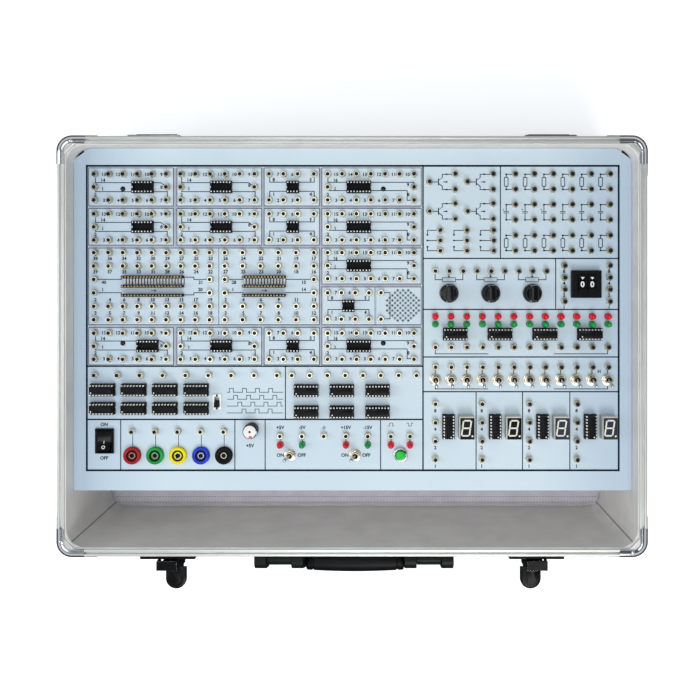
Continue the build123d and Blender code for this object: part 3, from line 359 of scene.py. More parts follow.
def paint(piece, finish, test):
    # faces picked by their middle (mm) and normal take another finish
    piece.data.materials.append(materials[finish])
    for face in piece.data.polygons:
        if test(face.center * 1000, face.normal):
            face.material_index = len(piece.data.materials) - 1
    return piece


def sunk(piece, border, depth, finish):
    # the top is inset by a border and pushed in, both in mm
    pressed(piece, upwards, [(border, 0), (0.05, -depth)])
    piece.data.materials.append(materials[finish])
    for face in piece.data.polygons:
        if face.select:
            face.material_index = len(piece.data.materials) - 1


def copyAt(model, place, turn=0.0, tilt=None):
    piece = linked(model.name, model.data.copy())
    piece.data.transform(Matrix.Translation(place) @ Matrix.Rotation(turn, 4, "Z") @ (tilt or Matrix()))
    return piece


def joined(pieces, name):
    deselect()
    for piece in pieces:
        piece.select_set(True)
    bpy.context.view_layer.objects.active = pieces[0]
    if len(pieces) > 1:
        bpy.ops.object.join()
    pieces[0].name = pieces[0].data.name = name
    return pieces[0]


def discard(*models):
    for model in models:
        bpy.data.objects.remove(model)


def settle(piece, body, slot, *nodes):
    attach(piece, body)
    if nodes:
        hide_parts(*nodes)
    return piece


def fit(pieces, name, slot, *nodes):
    # one finished piece of the case, made of many
    return settle(joined(pieces, name), "root", slot, *nodes)


def softened(node, width, finish, segments=2):
    # the node's own shape, its flat faces whole again and its edges rounded
    piece = linked(node + "Shape", frame["nodes"][node].data.copy())
    activate(piece)
    editAll()
    bpy.ops.mesh.remove_doubles(threshold=1e-6)
    bpy.ops.mesh.dissolve_limited(angle_limit=math.radians(1))
    faceOutwards()
    return named(rounded(piece, width, segments), node + "Shape", finish)


def soften(node, width, finish, slot, body="root", segments=2):
    # the softened node is shown in the node's place
    return settle(softened(node, width, finish, segments), body, slot, node)


def refinish(node, finish):
    for holder in frame["nodes"][node].material_slots:
        holder.material = materials[finish]


def solidsOf(node):
    # lowest and highest corner of each solid of a CAD node, from its joined triangles
    mesh = frame["nodes"][node].data
    keys = [tuple(round(c * 1e6) for c in vertex.co) for vertex in mesh.vertices]
    parent = {key: key for key in keys}

    def root(key):
        while parent[key] != key:
            parent[key] = parent[parent[key]]
            key = parent[key]
        return key

    for face in mesh.polygons:
        first = root(keys[face.vertices[0]])
        for index in face.vertices[1:]:
            parent[root(keys[index])] = first
    groups = {}
    for key in parent:
        groups.setdefault(root(key), []).append(key)
    return [tuple(Vector([end(key[i] for key in group) / 1e6 for i in range(3)]) for end in (min, max))
            for group in groups.values()]


def footOf(box, z=panelTop):
    # the middle of a solid, on the panel
    low, high = box
    return Vector(((low.x + high.x) / 2, (low.y + high.y) / 2, z))


def sizeOf(box):
    # long side, short side and height in mm, and whether the long side runs along the case's depth
    across, along, height = (box[1] - box[0]) * 1000
    return max(across, along), min(across, along), height, along > across + 1


def inRow(count, pitch):
    # places in metres of things in a row, about its middle
    return [(i - (count - 1) / 2) * pitch / 1000 for i in range(count)]


def pinsAlong(length):
    return inRow(round(length / pinPitch), pinPitch)


# ---- stage, lights, camera ----
def makeStage():
    stage = {"size": 6.0, "white": "#F4F5F6", "table": "#16171A", "farTable": "#8A8C90",
             "shade": (0.05, 0.7), "rough": 0.85, "glow": 0.42, "fill": 0.42, "sky": (0.93, 0.97, 1.0, 1),
             "mirrored": [(0.0, 0.02), (0.3, 0.06), (0.48, 0.85), (0.74, 0.95), (0.84, 0.2), (1.0, 0.12)]}
    deselect()
    bpy.ops.mesh.primitive_plane_add(size=stage["size"], location=(0, 0, 0))
    floor = bpy.context.object
    floor.name = "studioFloor"
    paper = bpy.data.materials.new("whiteBackdropPaper")
    paper.use_nodes = True
    surface = paper.node_tree.nodes["Principled BSDF"]
    surface.inputs["Roughness"].default_value = stage["rough"]
    rays = addNode(paper, "ShaderNodeLightPath")
    # metal mirrors the shade beside the case and a paler table beyond, so its edges stand out
    reach = addNode(paper, "ShaderNodeTexCoord").outputs["Object"]
    for operation, value in (("ABSOLUTE", (0, 0, 0)), ("SUBTRACT", (caseHigh.x, caseHigh.y, 0)),
                             ("MAXIMUM", (0, 0, 0))):
        reach = addNode(paper, "ShaderNodeVectorMath", {"operation": operation}, {1: value},
                        {0: reach}).outputs["Vector"]
    distance = addNode(paper, "ShaderNodeVectorMath", {"operation": "LENGTH"}, links={0: reach})
    shade = addNode(paper, "ShaderNodeMapRange", {}, {1: stage["shade"][0], 2: stage["shade"][1]},
                    {0: distance.outputs["Value"]})
    mirrored = addNode(paper, "ShaderNodeMix", {"data_type": "RGBA"},
                       {6: hexColour(stage["table"]), 7: hexColour(stage["farTable"])},
                       {0: shade.outputs[0]})
    tone = addNode(paper, "ShaderNodeMix", {"data_type": "RGBA"}, {6: hexColour(stage["white"])},
                   {0: rays.outputs["Is Glossy Ray"], 7: mirrored.outputs[2]})
    paper.node_tree.links.new(tone.outputs[2], surface.inputs["Base Color"])
    glow = addNode(paper, "ShaderNodeMath", {"operation": "MULTIPLY"}, {1: stage["glow"]},
                   {0: rays.outputs["Is Camera Ray"]})
    surface.inputs["Emission Color"].default_value = (1, 1, 1, 1)
    paper.node_tree.links.new(glow.outputs[0], surface.inputs["Emission Strength"])
    floor.data.materials.append(paper)

    world = bpy.data.worlds.new("softRoom")
    scene.world = world
    world.use_nodes = True
    background = world.node_tree.nodes["Background"]
    background.inputs["Color"].default_value = stage["sky"]
    rays = addNode(world, "ShaderNodeLightPath")
    direction = addNode(world, "ShaderNodeTexCoord")
    height = addNode(world, "ShaderNodeSeparateXYZ", links={0: direction.outputs["Generated"]})
    # what metal mirrors: dark walls, a bright ring of lamps, a dim ceiling
    ceiling = addNode(world, "ShaderNodeValToRGB", links={"Fac": height.outputs["Z"]})
    ramp = ceiling.color_ramp.elements
    for i, (position, grey) in enumerate(stage["mirrored"]):
        stop = ramp[i] if i < 2 else ramp.new(position)
        stop.position = position
        stop.color = (grey, grey, grey, 1)
    inMetal = addNode(world, "ShaderNodeMix", values={2: stage["fill"]},
                      links={0: rays.outputs["Is Glossy Ray"], 3: ceiling.outputs["Color"]})
    seen = addNode(world, "ShaderNodeMix", values={3: 1.0},
                   links={0: rays.outputs["Is Camera Ray"], 2: inMetal.outputs[0]})
    world.node_tree.links.new(seen.outputs[0], background.inputs["Strength"])

    # place and size in metres, power in watts, tint
    lamps = {"keyLamp": ((0.25, -1.15, 1.35), 0.9, 13.0, (1.0, 0.98, 0.95)),
             "topLamp": ((-0.25, -0.12, 1.75), 1.0, 7.0, (0.92, 0.96, 1.0)),
             "sideLamp": ((-1.3, 0.0, 0.9), 0.8, 5.2, (1.0, 1.0, 1.0))}
    target = Vector((0, 0.02, 0.08))
    for name, (place, size, power, tint) in lamps.items():
        light = bpy.data.lights.new(name, "AREA")
        light.size, light.energy, light.color = size, power, tint
        lamp = linked(name, light)
        lamp.location = place
        lamp.rotation_euler = (target - lamp.location).to_track_quat("-Z", "Y").to_euler()

    # a view straight down, its lens shifted instead of tilted
    view = {"lens": 35.6, "film": 36, "shift": (-0.0429, -0.1214), "place": (0.0227, 0.0661, 0.672)}
    lens = bpy.data.cameras.new("camera")
    lens.lens, lens.sensor_width = view["lens"], view["film"]
    lens.shift_x, lens.shift_y = view["shift"]
    camera = linked("camera", lens)
    camera.location = Vector(view["place"]) + Vector((0, caseY, 0))
    scene.camera = camera
    scene.view_settings.view_transform = "Standard"


# ---- case ----
def swept(name, profile, legs, radius, steps, finish):
    # a profile of (distance from the outside, height) in mm, drawn along one leg, round the corner
    # and along the other leg; the outside corner is at the origin
    piece = drawn([(-inwards, -legs - radius, height) for inwards, height in profile])
    extrude(0, legs, 0)
    bpy.ops.mesh.spin(steps=steps, angle=-quarter, center=(-radius / 1000, -radius / 1000, 0), axis=(0, 0, 1))
    extrude(-legs, 0, 0)
    bpy.ops.mesh.select_all(action="SELECT")
    bpy.ops.mesh.remove_doubles(threshold=1e-6)
    faceOutwards()
    return named(smooth(piece, 50), name, finish)


def makeCaps():
    cap = {"radius": 12.8, "legs": 10.7, "drop": 13.8, "sheet": 0.8, "skirtEnd": 33.0, "skirtGap": 2.4,
           "roll": (4.5, 2.6), "rivetAt": (-4.6, -12.8), "sideRivetAt": 28.0,
           "bead": [(5.0, -0.06), (5.5, -0.3), (5.9, -0.46), (6.3, -0.4), (6.8, -0.36), (6.95, -0.9)],
           "rivet": [(1.5, -1.0), (1.5, -0.2), (1.2, 0.0), (0.5, 0.12)],
           "sideRivet": [(2.0, -0.4), (2.0, 0.1), (1.6, 0.5), (0.7, 0.7)]}
    profile = [(0, -cap["drop"])]
    for angle in range(0, 91, 15):                       # the rolled outer edge
        turn = math.radians(angle)
        profile.append((cap["roll"][0] * (1 - math.cos(turn)), cap["roll"][1] * (math.sin(turn) - 1)))
    profile += cap["bead"] + [(1.5, -0.95), (cap["sheet"], -1.55), (cap["sheet"], -cap["drop"])]
    band = swept("capBand", profile, cap["legs"], cap["radius"], 12, "chrome")
    start, end = cap["radius"] + cap["legs"] - 1, cap["skirtEnd"]
    height = cap["drop"] - cap["skirtGap"]
    long, middle, thick = end - start, -(start + end) / 2, cap["sheet"]
    flats = (((thick, long), (-thick / 2, middle)), ((long, thick), (middle, -thick / 2)))
    skirts = [block("capSkirt", (*size, height), (*place, height / 2 - cap["drop"]), "chrome", bevel=0.25)
              for size, place in flats]
    rivet = shift(turned("capRivet", cap["rivet"], 14, "chrome"), *cap["rivetAt"], 0)
    sideRivet = turned("sideRivet", cap["sideRivet"], 14, "chrome")
    model = joined([band, *skirts, rivet], "capModel")
    activate(model)
    editAll()
    faceOutwards()
    low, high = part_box("corner_caps")
    over = Matrix.Rotation(math.pi, 4, Vector((1, 1, 0)))
    caps = []
    for x, y, turn in ((high.x, high.y, 0), (low.x, high.y, 1), (low.x, low.y, 2), (high.x, low.y, 3)):
        caps.append(copyAt(model, (x, y, high.z), turn * quarter))
        caps.append(copyAt(model, (x, y, low.z), turn * quarter, over))
        outwards = Matrix.Rotation(math.copysign(quarter, -y), 4, "X")
        rivetX = x - math.copysign(cap["sideRivetAt"] / 1000, x)
        for z in (high.z - cap["drop"] / 2000, low.z + cap["drop"] / 2000):
            caps.append(copyAt(sideRivet, (rivetX, y, z), 0, outwards))
    discard(model, sideRivet)
    fit(caps, "cornerCaps", "bright_caps", "corner_caps")


def makeCase():
    foot = {"rubber": [(7.8, 0.0), (8.6, 0.5), (9.0, 3.0), (9.0, 4.3)], "dish": [(3.2, 0), (0.05, -1.6)],
            "screw": [(3.0, 3.6), (3.0, 2.6), (1.6, 2.1)]}
    soften("mains_inlet", 0.3, "glossBlack", "black_plastic")
    soften("rim_extrusion", 0.4, "aluminium", "aluminium_edging")
    soften("edge_extrusions", 0.35, "aluminium", "aluminium_edging")
    makeCaps()
    soften("hinge_halves", 0.3, "chrome", "plated_metal")
    refinish("wall_boards", "laminate")
    refinish("base_board", "laminate")
    refinish("panel_supports", "felt")
    pad = pressed(turned("caseFoot", foot["rubber"], 28, "rubber"), downwards, foot["dish"])
    screw = turned("footScrew", foot["screw"], 12, "chrome")
    feet = []
    for box in solidsOf("case_feet"):
        feet += [copyAt(piece, footOf(box, box[0].z)) for piece in (pad, screw)]
    fit(feet, "caseFeet", "black_rubber", "case_feet")
    discard(pad, screw)


def makeGusset(name, reach, low, high, finish):
    # the fillet between two walls: the corner itself and a concave arc
    steps = 8
    profile = [(0.6, 0.6, low)]
    for i in range(steps + 1):
        angle = quarter * i / steps
        profile.append((reach * (math.cos(angle) - 1), reach * (math.sin(angle) - 1), low))
    gusset = drawn(profile)
    extrude(0, 0, high - low)
    faceOutwards()
    return named(smooth(gusset, 40), name, finish)


def makeLining():
    corner = {"wall": (232.75, 163.75), "round": 14.4, "z": (-83.5, 12.8), "seam": 0.9}
    gapShade = {"round": 23.0, "z": (-9.0, -2.1)}
    soften("case_lining", 0.5, "felt", "grey_lining", segments=3)
    x, y = corner["wall"]
    low, high = corner["z"]
    gusset = makeGusset("liningGusset", corner["round"], low, high, "felt")
    # painted shade: a dark rubber fillet under the panel's rear corners stands in for the shade in the gap
    # between panel and lining
    seal = makeGusset("foamGusset", gapShade["round"], *gapShade["z"], "rubber")
    # partly a real seam, partly painted shade: a thin raised seam down each front corner of the lining, in a
    # darker thread colour that also stands for the shade in the crease
    ridge = block("liningSeam", (corner["seam"], corner["seam"], high - low), (0, 0, (high + low) / 2),
                  "thread", bevel=0.3)
    middle = corner["round"] * (1 - math.cos(quarter / 2)) + 0.1
    gussets, seams, gapShades = [], [], []
    for side, frontTurn, rearTurn in ((1, -quarter, 0), (-1, math.pi, quarter)):
        gussets += [copyAt(gusset, at(side * x, -y), frontTurn), copyAt(gusset, at(side * x, y), rearTurn)]
        seams.append(copyAt(ridge, at(side * (x - middle), -y + middle), quarter / 2))
        gapShades.append(copyAt(seal, at(side * x, y), rearTurn))
    fit(gussets, "liningGussets", "grey_lining")
    fit(seams, "liningSeams", "grey_lining")
    fit(gapShades, "cornerFoam", "black_rubber")
    discard(gusset, seal, ridge)


def swell(cloth, pressure, frames):
    # air fills the cover for some frames, and the result stays in the mesh
    filling = cloth.modifiers.new("swell", "CLOTH")
    filling.settings.use_pressure = True
    filling.settings.uniform_pressure_force = pressure
    filling.settings.effector_weights.gravity = 0
    filling.point_cache.frame_start, filling.point_cache.frame_end = 1, frames
    for number in range(1, frames + 1):
        scene.frame_set(number)
    activate(cloth)
    bpy.ops.object.modifier_apply(modifier="swell")
    scene.frame_set(1)


def makeFloorPad():
    pad = {"margin": 0.4, "reach": 4.0, "cell": 5.0, "thickness": 1.5, "lift": 0.4, "pressure": 4.0,
           "frames": 20, "most": 0.9, "stitch": (1.7, 0.5, 0.4), "pitch": 2.9, "hems": (3.4, 8.6)}
    low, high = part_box("floor_pad")
    reach = Vector((pad["reach"] / 1000, 0, 0))             # cloth fills the gap to the lining
    low, high = low - reach - Vector((0, reach.x, 0)), high + reach
    width, depth = (high.x - low.x) * 1000, (high.y - low.y) * 1000
    deselect()
    bpy.ops.mesh.primitive_grid_add(x_subdivisions=round(width / pad["cell"]),
                                    y_subdivisions=round(depth / pad["cell"]), size=1, location=(0, 0, 0))
    cloth = bpy.context.object
    cloth.data.transform(Matrix.Diagonal(((width - 2 * pad["margin"]) / 1000,
                                          (depth - 2 * pad["margin"]) / 1000, 1, 1)))
    editAll()
    extrude(0, 0, pad["thickness"])
    faceOutwards()
    carry(cloth, footOf((low, high), low.z + pad["lift"] / 1000))
    start = [vertex.co.copy() for vertex in cloth.data.vertices]
    swell(cloth, pad["pressure"], pad["frames"])
    limit = pad["most"] / 1000
    for vertex, place in zip(cloth.data.vertices, start):
        move = vertex.co - place
        if move.length > limit:
            vertex.co = place + move * (limit / move.length)
        vertex.co.z = min(max(vertex.co.z, low.z + 0.0001), high.z)
    modify(cloth, "SUBSURF", levels=1, render_levels=1)
    named(cloth, "floorPad", "padCloth")
    smooth(cloth, 60)
    settle(cloth, "root", "floor_cloth", "floor_pad")

    stitch = block("stitch", pad["stitch"], (0, 0, 0), "thread", bevel=0.12, segments=1)
    count = int(width / pad["pitch"]) - 2
    step = (high.x - low.x) / (count + 2)
    stitches = [copyAt(stitch, (low.x + step * (i + 1.5), low.y + hem / 1000, high.z - 0.0001))
                for i in range(count) for hem in pad["hems"]]
    fit(stitches, "padStitches", "floor_cloth")
    discard(stitch)


# ---- what stands on the panel ----
def tintPanel():
    # painted shade: the panel is drawn bluer and darker near its left and right sides, where the walls shade
    # it
    tint = {"from": 0.15, "to": 0.232, "colour": "#AFC3D6", "share": 0.75}
    material = materials["panel"]
    surface = material.node_tree.nodes["Principled BSDF"]
    inner = surface.inputs["Base Color"].links[0].from_socket
    place = addNode(material, "ShaderNodeTexCoord").outputs["Object"]
    across = addNode(material, "ShaderNodeSeparateXYZ", links={0: place})
    reach = addNode(material, "ShaderNodeMath", {"operation": "ABSOLUTE"}, links={0: across.outputs["X"]})
    share = addNode(material, "ShaderNodeMapRange", {"interpolation_type": "SMOOTHSTEP"},
                    {"From Min": tint["from"], "From Max": tint["to"], "To Max": tint["share"]},
                    {"Value": reach.outputs[0]})
    mixed = addNode(material, "ShaderNodeMix", {"data_type": "RGBA"}, {7: hexColour(tint["colour"])},
                    {0: share.outputs["Result"], 6: inner})
    material.node_tree.links.new(mixed.outputs[2], surface.inputs["Base Color"])


def makePanel():
    grille = {"middle": (41.8, 32.4), "pitch": (4.4, 2.1), "rows": [3, 4, 5, 6, 7, 6, 7, 6, 7, 6, 5, 4, 3],
              "plug": [(1.2, -1.2), (1.2, 0.03), (0.95, 0.02), (0.8, -0.4)]}
    head = {"rings": [(2.1, -0.2), (2.1, 0.25), (1.7, 0.75), (0.9, 1.0)], "slot": (1.9, 0.42, 0.3),
            "slotAt": (0, 0, 0.88), "turn": 0.5}
    tintPanel()
    for node, finish in (("panel", "panel"), ("speaker", "mattBlack"), ("potentiometers", "nickel"),
                         ("power_supply", "greenBoard")):
        refinish(node, finish)
    # painted shade: a near-black dish, a little wider than each grille hole, stands in for the shade in the
    # holes
    plug = turned("grilleCloth", grille["plug"], 12, "socketHole")
    x, y = grille["middle"]
    holes = []
    across, along = grille["pitch"]
    for count, up in zip(grille["rows"], inRow(len(grille["rows"]), -along)):
        holes += [copyAt(plug, at(x, y) + Vector((right, up, 0))) for right in inRow(count, across)]
    fit(holes, "grilleCloth", "black_plastic")
    screw = turned("panelScrew", head["rings"], 16, "glossBlack")
    # painted shade: a near-black bar lies in the slot of each screw head
    slot = block("screwSlot", head["slot"], head["slotAt"], "socketHole", bevel=0.05, segments=1)
    screws = [copyAt(piece, footOf(box), turn) for box in solidsOf("panel_screws")
              for piece, turn in ((screw, 0), (slot, head["turn"]), (slot, head["turn"] + quarter))]
    fit(screws, "panelScrews", "black_screws", "panel_screws")
    discard(plug, screw, slot)


def makePatchSockets():
    socket = {"nut": [(3.15, -0.2), (3.15, 1.5), (2.75, 2.0), (2.3, 2.0)], "turn": 0.73, "hole": 1.5,
              "collar": [(2.45, 1.9), (2.45, 3.3), (2.2, 3.7), (1.6, 3.7), (1.4, 3.2), (1.35, 2.15)]}
    nut = turned("socketNut", socket["nut"], 6, "nickel")
    collar = turned("socketCollar", socket["collar"], 12, "nickel")
    # painted shade: the hole is shallow, and its walls and floor are near black in place of the shade of a
    # deep hole
    paint(collar, "socketHole", lambda c, n: c.xy.length < socket["hole"] and c.z > 0)
    pieces = []
    for i, box in enumerate(solidsOf("patch_sockets")):
        pieces += [copyAt(nut, footOf(box), i * socket["turn"]), copyAt(collar, footOf(box))]
    fit(pieces, "patchSockets", "nickel_sockets", "patch_sockets")
    discard(nut, collar)


def makeChipSockets():
    socket = {"rail": 2.54, "height": 4.2, "endBar": 1.6, "plate": 1.4, "contact": 0.95}
    rail, height, bar, plate = socket["rail"], socket["height"], socket["endBar"], socket["plate"]
    low, nylon = height - 0.5, "socketNylon"                        # the end bars are a little lower
    contact = block("socketContact", (socket["contact"], socket["contact"], 0.5), (0, 0, height - 0.1), "tin")
    # painted shade: the shallow pit in each contact is near black
    sunk(contact, 0.32, 0.2, "socketHole")
    models, pieces = {}, []
    for box in solidsOf("chip_sockets"):
        long, wide, _, upright = sizeOf(box)
        key = (round(long, 1), round(wide, 1))
        if key not in models:
            parts = [block("socketPlate", (long - 0.6, wide - 3, plate), (0, 0, plate / 2), nylon, bevel=0.1)]
            for side in (-1, 1):
                y = side * (wide - rail) / 2
                parts.append(block("rail", (long, rail, height), (0, y, height / 2), nylon, bevel=0.25))
                for end in (-1, 1):
                    place = (end * (long - bar) / 2, side * wide * 0.2, low / 2)
                    parts.append(block("endStub", (bar, wide * 0.22, low), place, nylon, bevel=0.15))
                parts += [copyAt(contact, (x, y / 1000, 0)) for x in pinsAlong(long)]
            models[key] = joined(parts, "chipSocketModel")
        pieces.append(copyAt(models[key], footOf(box), quarter if upright else 0))
    discard(contact, *models.values())
    fit(pieces, "chipSockets", "black_plastic", "chip_sockets")


def makeChips():
    chip = {"leg": (1.35, 1.0, 0.3), "foot": 1.9, "shoulder": 1.7, "notch": 0.95, "mark": 0.55,
            "markAt": (2.1, 1.6)}
    boxes = solidsOf("logic_chips")
    long, wide, height, _ = sizeOf(boxes[0])
    base = (boxes[0][0].z - panelTop) * 1000
    top = base + height
    body = block("chipBody", (long, wide, height), (0, 0, 0), "chipEpoxy", bevel=0.18, taper=0.94)
    notch = turned("notch", [(chip["notch"], -0.5), (chip["notch"], 1)], 16, "chipEpoxy")
    shift(notch, -long / 2 * 0.95, 0, height / 2)
    modify(body, "BOOLEAN", object=notch)
    smooth(shift(body, 0, 0, base + height / 2), 40)
    mark = turned("pinOneMark", [(chip["mark"], top - 0.04), (chip["mark"], top + 0.02)], 14, "paper")
    shift(mark, -long / 2 + chip["markAt"][0], -wide / 2 + chip["markAt"][1], 0)
    leg = block("chipLeg", chip["leg"], (0, 0, 0), "tin")
    pick(leg, downwards)
    bpy.ops.mesh.inset(thickness=0.0002)
    extrude(0, 0, -chip["foot"])
    stopEditing()
    rounded(leg, 0.1, 1)
    reach = (wide / 2 + chip["leg"][1] / 2 - 0.05) / 1000
    legs = [copyAt(leg, (x, side * reach, (base + chip["shoulder"]) / 1000))
            for x in pinsAlong(long + 1) for side in (-1, 1)]
    model = joined([body, mark, *legs], "chipModel")
    pieces = [copyAt(model, footOf(box), quarter if sizeOf(box)[3] else 0) for box in boxes]
    discard(notch, leg, model)
    fit(pieces, "logicChips", "black_plastic", "logic_chips")


def makeStrips():
    strip = {"contact": (1.2, 1.0, 0.5), "hole": (0.28, 0.3), "sink": 0.1}
    contact = block("stripContact", strip["contact"], (0, 0, 0), "gold")
    # painted shade: the shallow pit in each contact is near black
    sunk(contact, *strip["hole"], "socketHole")
    pieces = []
    for box in solidsOf("contact_strips"):
        long, wide = sizeOf(box)[:2]
        height = (box[1].z - panelTop) * 1000
        bar = block("stripBar", (long, wide, height), (0, 0, height / 2), "socketNylon", bevel=0.3)
        pieces.append(copyAt(bar, footOf(box)))
        discard(bar)
        pieces += [copyAt(contact, footOf(box) + Vector((x, 0, (height - strip["sink"]) / 1000)))
                   for x in pinsAlong(long)]
    discard(contact)
    fit(pieces, "contactStrips", "black_plastic", "contact_strips")


def makeLights():
    dome = [(2.9, -0.2), (2.9, 0.8), (2.6, 1.0), (2.5, 4.0), (2.3, 5.1), (1.85, 5.9), (1.15, 6.4), (0.4, 6.6)]
    for colour in ("red", "green"):
        lens = turned("ledLens", dome, 18, colour + "Lens")
        pieces = [copyAt(lens, footOf(box)) for box in solidsOf(colour + "_leds")]
        fit(pieces, colour + "Lights", colour + "_lens", colour + "_leds")
        discard(lens)


def segmentBar(length, width, rise):
    # a bar with pointed ends, as a hexagon drawn out to its length
    shoulder, half = (length - width) / 2, width / 2
    radius = half / math.cos(math.pi / 6)
    side = [(shoulder + radius / 2, half), (shoulder + radius, 0), (shoulder + radius / 2, -half)]
    bar = drawn([(x, y, 0) for x, y in side + [(-x, -y) for x, y in side]])
    extrude(0, 0, rise)
    faceOutwards()
    return named(bar, "segmentBar", "segment")


def makeDisplays():
    digit = {"size": (12.7, 19.0, 8.0), "half": (3.2, 6.2), "bar": 1.2, "slant": 8.0, "left": 0.4,
             "dot": 0.8, "dotAt": (5.9, -6.6), "faceAt": (0.35, -0.45)}
    wide, long, height = digit["size"]
    x, y = digit["half"]
    top = (height - 0.02) / 1000
    body = block("digitBody", (wide, long, height - 0.1), (0, 0, (height - 0.1) / 2), "potting", bevel=0.25)
    across = segmentBar(x * 2 - 0.9, digit["bar"], 0.05)
    up = segmentBar(y - 0.4, digit["bar"], 0.05)
    marks = [copyAt(across, (0, v / 1000, top)) for v in (y, 0, -y)]
    marks += [copyAt(up, (u / 1000, v / 1000, top), quarter) for u in (-x, x) for v in (y / 2, -y / 2)]
    point = turned("digitPoint", [(digit["dot"], -0.02), (digit["dot"], 0.03)], 16, "segment")
    figure = joined(marks + [shift(point, *digit["dotAt"], height)], "digitFigure")
    lean = Matrix()
    lean[0][1] = math.tan(math.radians(digit["slant"]))
    figure.data.transform(lean)
    shift(figure, -digit["left"], 0, 0)
    pieces = []
    for i, box in enumerate(sorted(solidsOf("digit_displays"), key=lambda box: box[0].x)):
        face = block("digitFace", (wide - 1.0, long - 1.3, 0.5), (*digit["faceAt"], height - 0.25),
                     "filter" if i < 2 else "hazyFilter", bevel=0.12)
        pieces += [copyAt(piece, footOf(box)) for piece in (body, face, figure)]
        discard(face)
    discard(across, up, body, figure)
    fit(pieces, "digitDisplays", "display_plastic", "digit_displays")


def makeBuzzer():
    buzzer = {"can": [(6.0, -0.2), (6.0, 8.6), (5.5, 9.3), (5.2, 9.3), (5.0, 9.1)],
              "seal": [(5.2, 9.1), (5.2, 9.35), (5.1, 9.42), (1.0, 9.42), (0.85, 9.2)], "hole": 0.95,
              "tab": (2.4, 2.4, 0.3), "tabAt": (4.6, -0.6, 9.28), "mark": (2.6, 1.3, 0.1),
              "markAt": (0.6, -4.1, 9.42)}
    can = turned("buzzerCan", buzzer["can"], 32, "glossBlack")
    seal = turned("buzzerSeal", buzzer["seal"], 28, "paper")
    # painted shade: the hole in the middle of the seal is near black
    paint(seal, "socketHole", lambda c, n: c.xy.length < buzzer["hole"] and c.z > 9.1)
    tab = block("sealTab", buzzer["tab"], buzzer["tabAt"], "paper", bevel=0.1)
    mark = block("sealMark", buzzer["mark"], buzzer["markAt"], "redInk", bevel=0.04)
    model = joined([can, seal, tab, mark], "buzzerModel")
    fit([copyAt(model, footOf(solidsOf("buzzer")[0]))], "buzzerPiece", "black_plastic", "buzzer")
    discard(model)


def makeToggles():
    toggle = {"body": (13.0, 8.0, 10.0), "bodyAt": (0, 0, -7.2),
              "washer": [(5.0, -0.1), (5.0, 0.3), (4.85, 0.4), (2.8, 0.4)],
              "nut": [(4.5, 0.4), (4.75, 0.6), (4.75, 1.9), (4.3, 2.2), (2.9, 2.2)], "nutTurn": 12,
              "lip": [(2.9, 4.3), (2.7, 4.6), (2.25, 4.6), (2.1, 4.2), (2.0, 2.4)],
              "lever": [(0.9, -1.4), (1.75, -0.6), (1.9, 0.3), (1.6, 1.4), (1.0, 2.3), (1.05, 6.0),
                        (1.42, 9.6), (1.45, 11.0), (1.3, 11.9), (0.85, 12.4), (0.3, 12.55)]}
    body = block("toggleBody", toggle["body"], toggle["bodyAt"], "mattBlack", bevel=0.4)
    washer = turned("toggleWasher", toggle["washer"], 28, "nickel")
    nut = spin(turned("toggleNut", toggle["nut"], 6, "nickel"), math.radians(toggle["nutTurn"]))
    rings = [(2.75, 1.5)]
    for i in range(4):                                              # the thread
        rings += [(2.9, 2.3 + i * 0.5), (2.65, 2.55 + i * 0.5)]
    bushing = turned("toggleBushing", rings + toggle["lip"], 20, "nickel")
    # painted shade: the bore of the bushing is near black
    paint(bushing, "socketHole", lambda c, n: c.xy.length < 2.05 and c.z > 1.5)
    model = joined([body, washer, nut, bushing], "toggleModel")
    pieces = []
    for name, place in jointPlace.items():
        supply = name.startswith("supply_switch")
        if not (supply or name.startswith("switch_")):
            continue
        pieces.append(copyAt(model, (place.x, place.y, panelTop), 0 if supply else quarter))
        node = "supply_lever_" + name[-1] if supply else "switch_lever_" + name[-2:]
        points = [v.co - place for v in frame["nodes"][node].data.vertices]
        tip = sum(sorted(points, key=lambda p: -p.length)[:6], Vector()) / 6
        lever = turned(node.replace("_", "").replace("lever", "Lever"), toggle["lever"], 16, "chrome")
        lever.data.transform(Matrix.Translation(place) @ aim(tip))
        settle(lever, node, "plated_metal", node)
    fit(pieces, "toggleBodies", "plated_metal", "toggle_bodies")
    discard(model)


def makeKnobs():
    knob = {"skirt": [(8.0, 0.5), (8.0, 1.6), (7.7, 3.0), (6.5, 3.6), (6.3, 4.6)],
            "crown": [(6.4, 3.4), (6.3, 6.6), (5.9, 7.1), (1.0, 7.2)], "shaft": [(3.0, -8.0), (3.0, 1.0)],
            "bar": (14.6, 6.4, 9.6), "barAt": (0, 0, 8.2), "line": (4.9, 0.7, 0.3), "lineAt": (3.6, 0, 12.93)}
    for number in (1, 2, 3):
        node = f"knob_{number}"
        place = jointPlace[node + "_turn"]
        bar = block("knobBar", knob["bar"], knob["barAt"], "glossBlack", taper=0.92)
        parts = [turned("knobSkirt", knob["skirt"], 36, "glossBlack"),
                 turned("knobCrown", knob["crown"], 36, "glossBlack"), rounded(bar, 1.5, 4),
                 block("knobLine", knob["line"], knob["lineAt"], "glossBlack"),
                 turned("knobShaft", knob["shaft"], 20, "nickel")]
        piece = spin(joined(parts, f"controlKnob{number}"), quarter)
        settle(carry(piece, (place.x, place.y, panelTop)), node, "black_plastic", node)


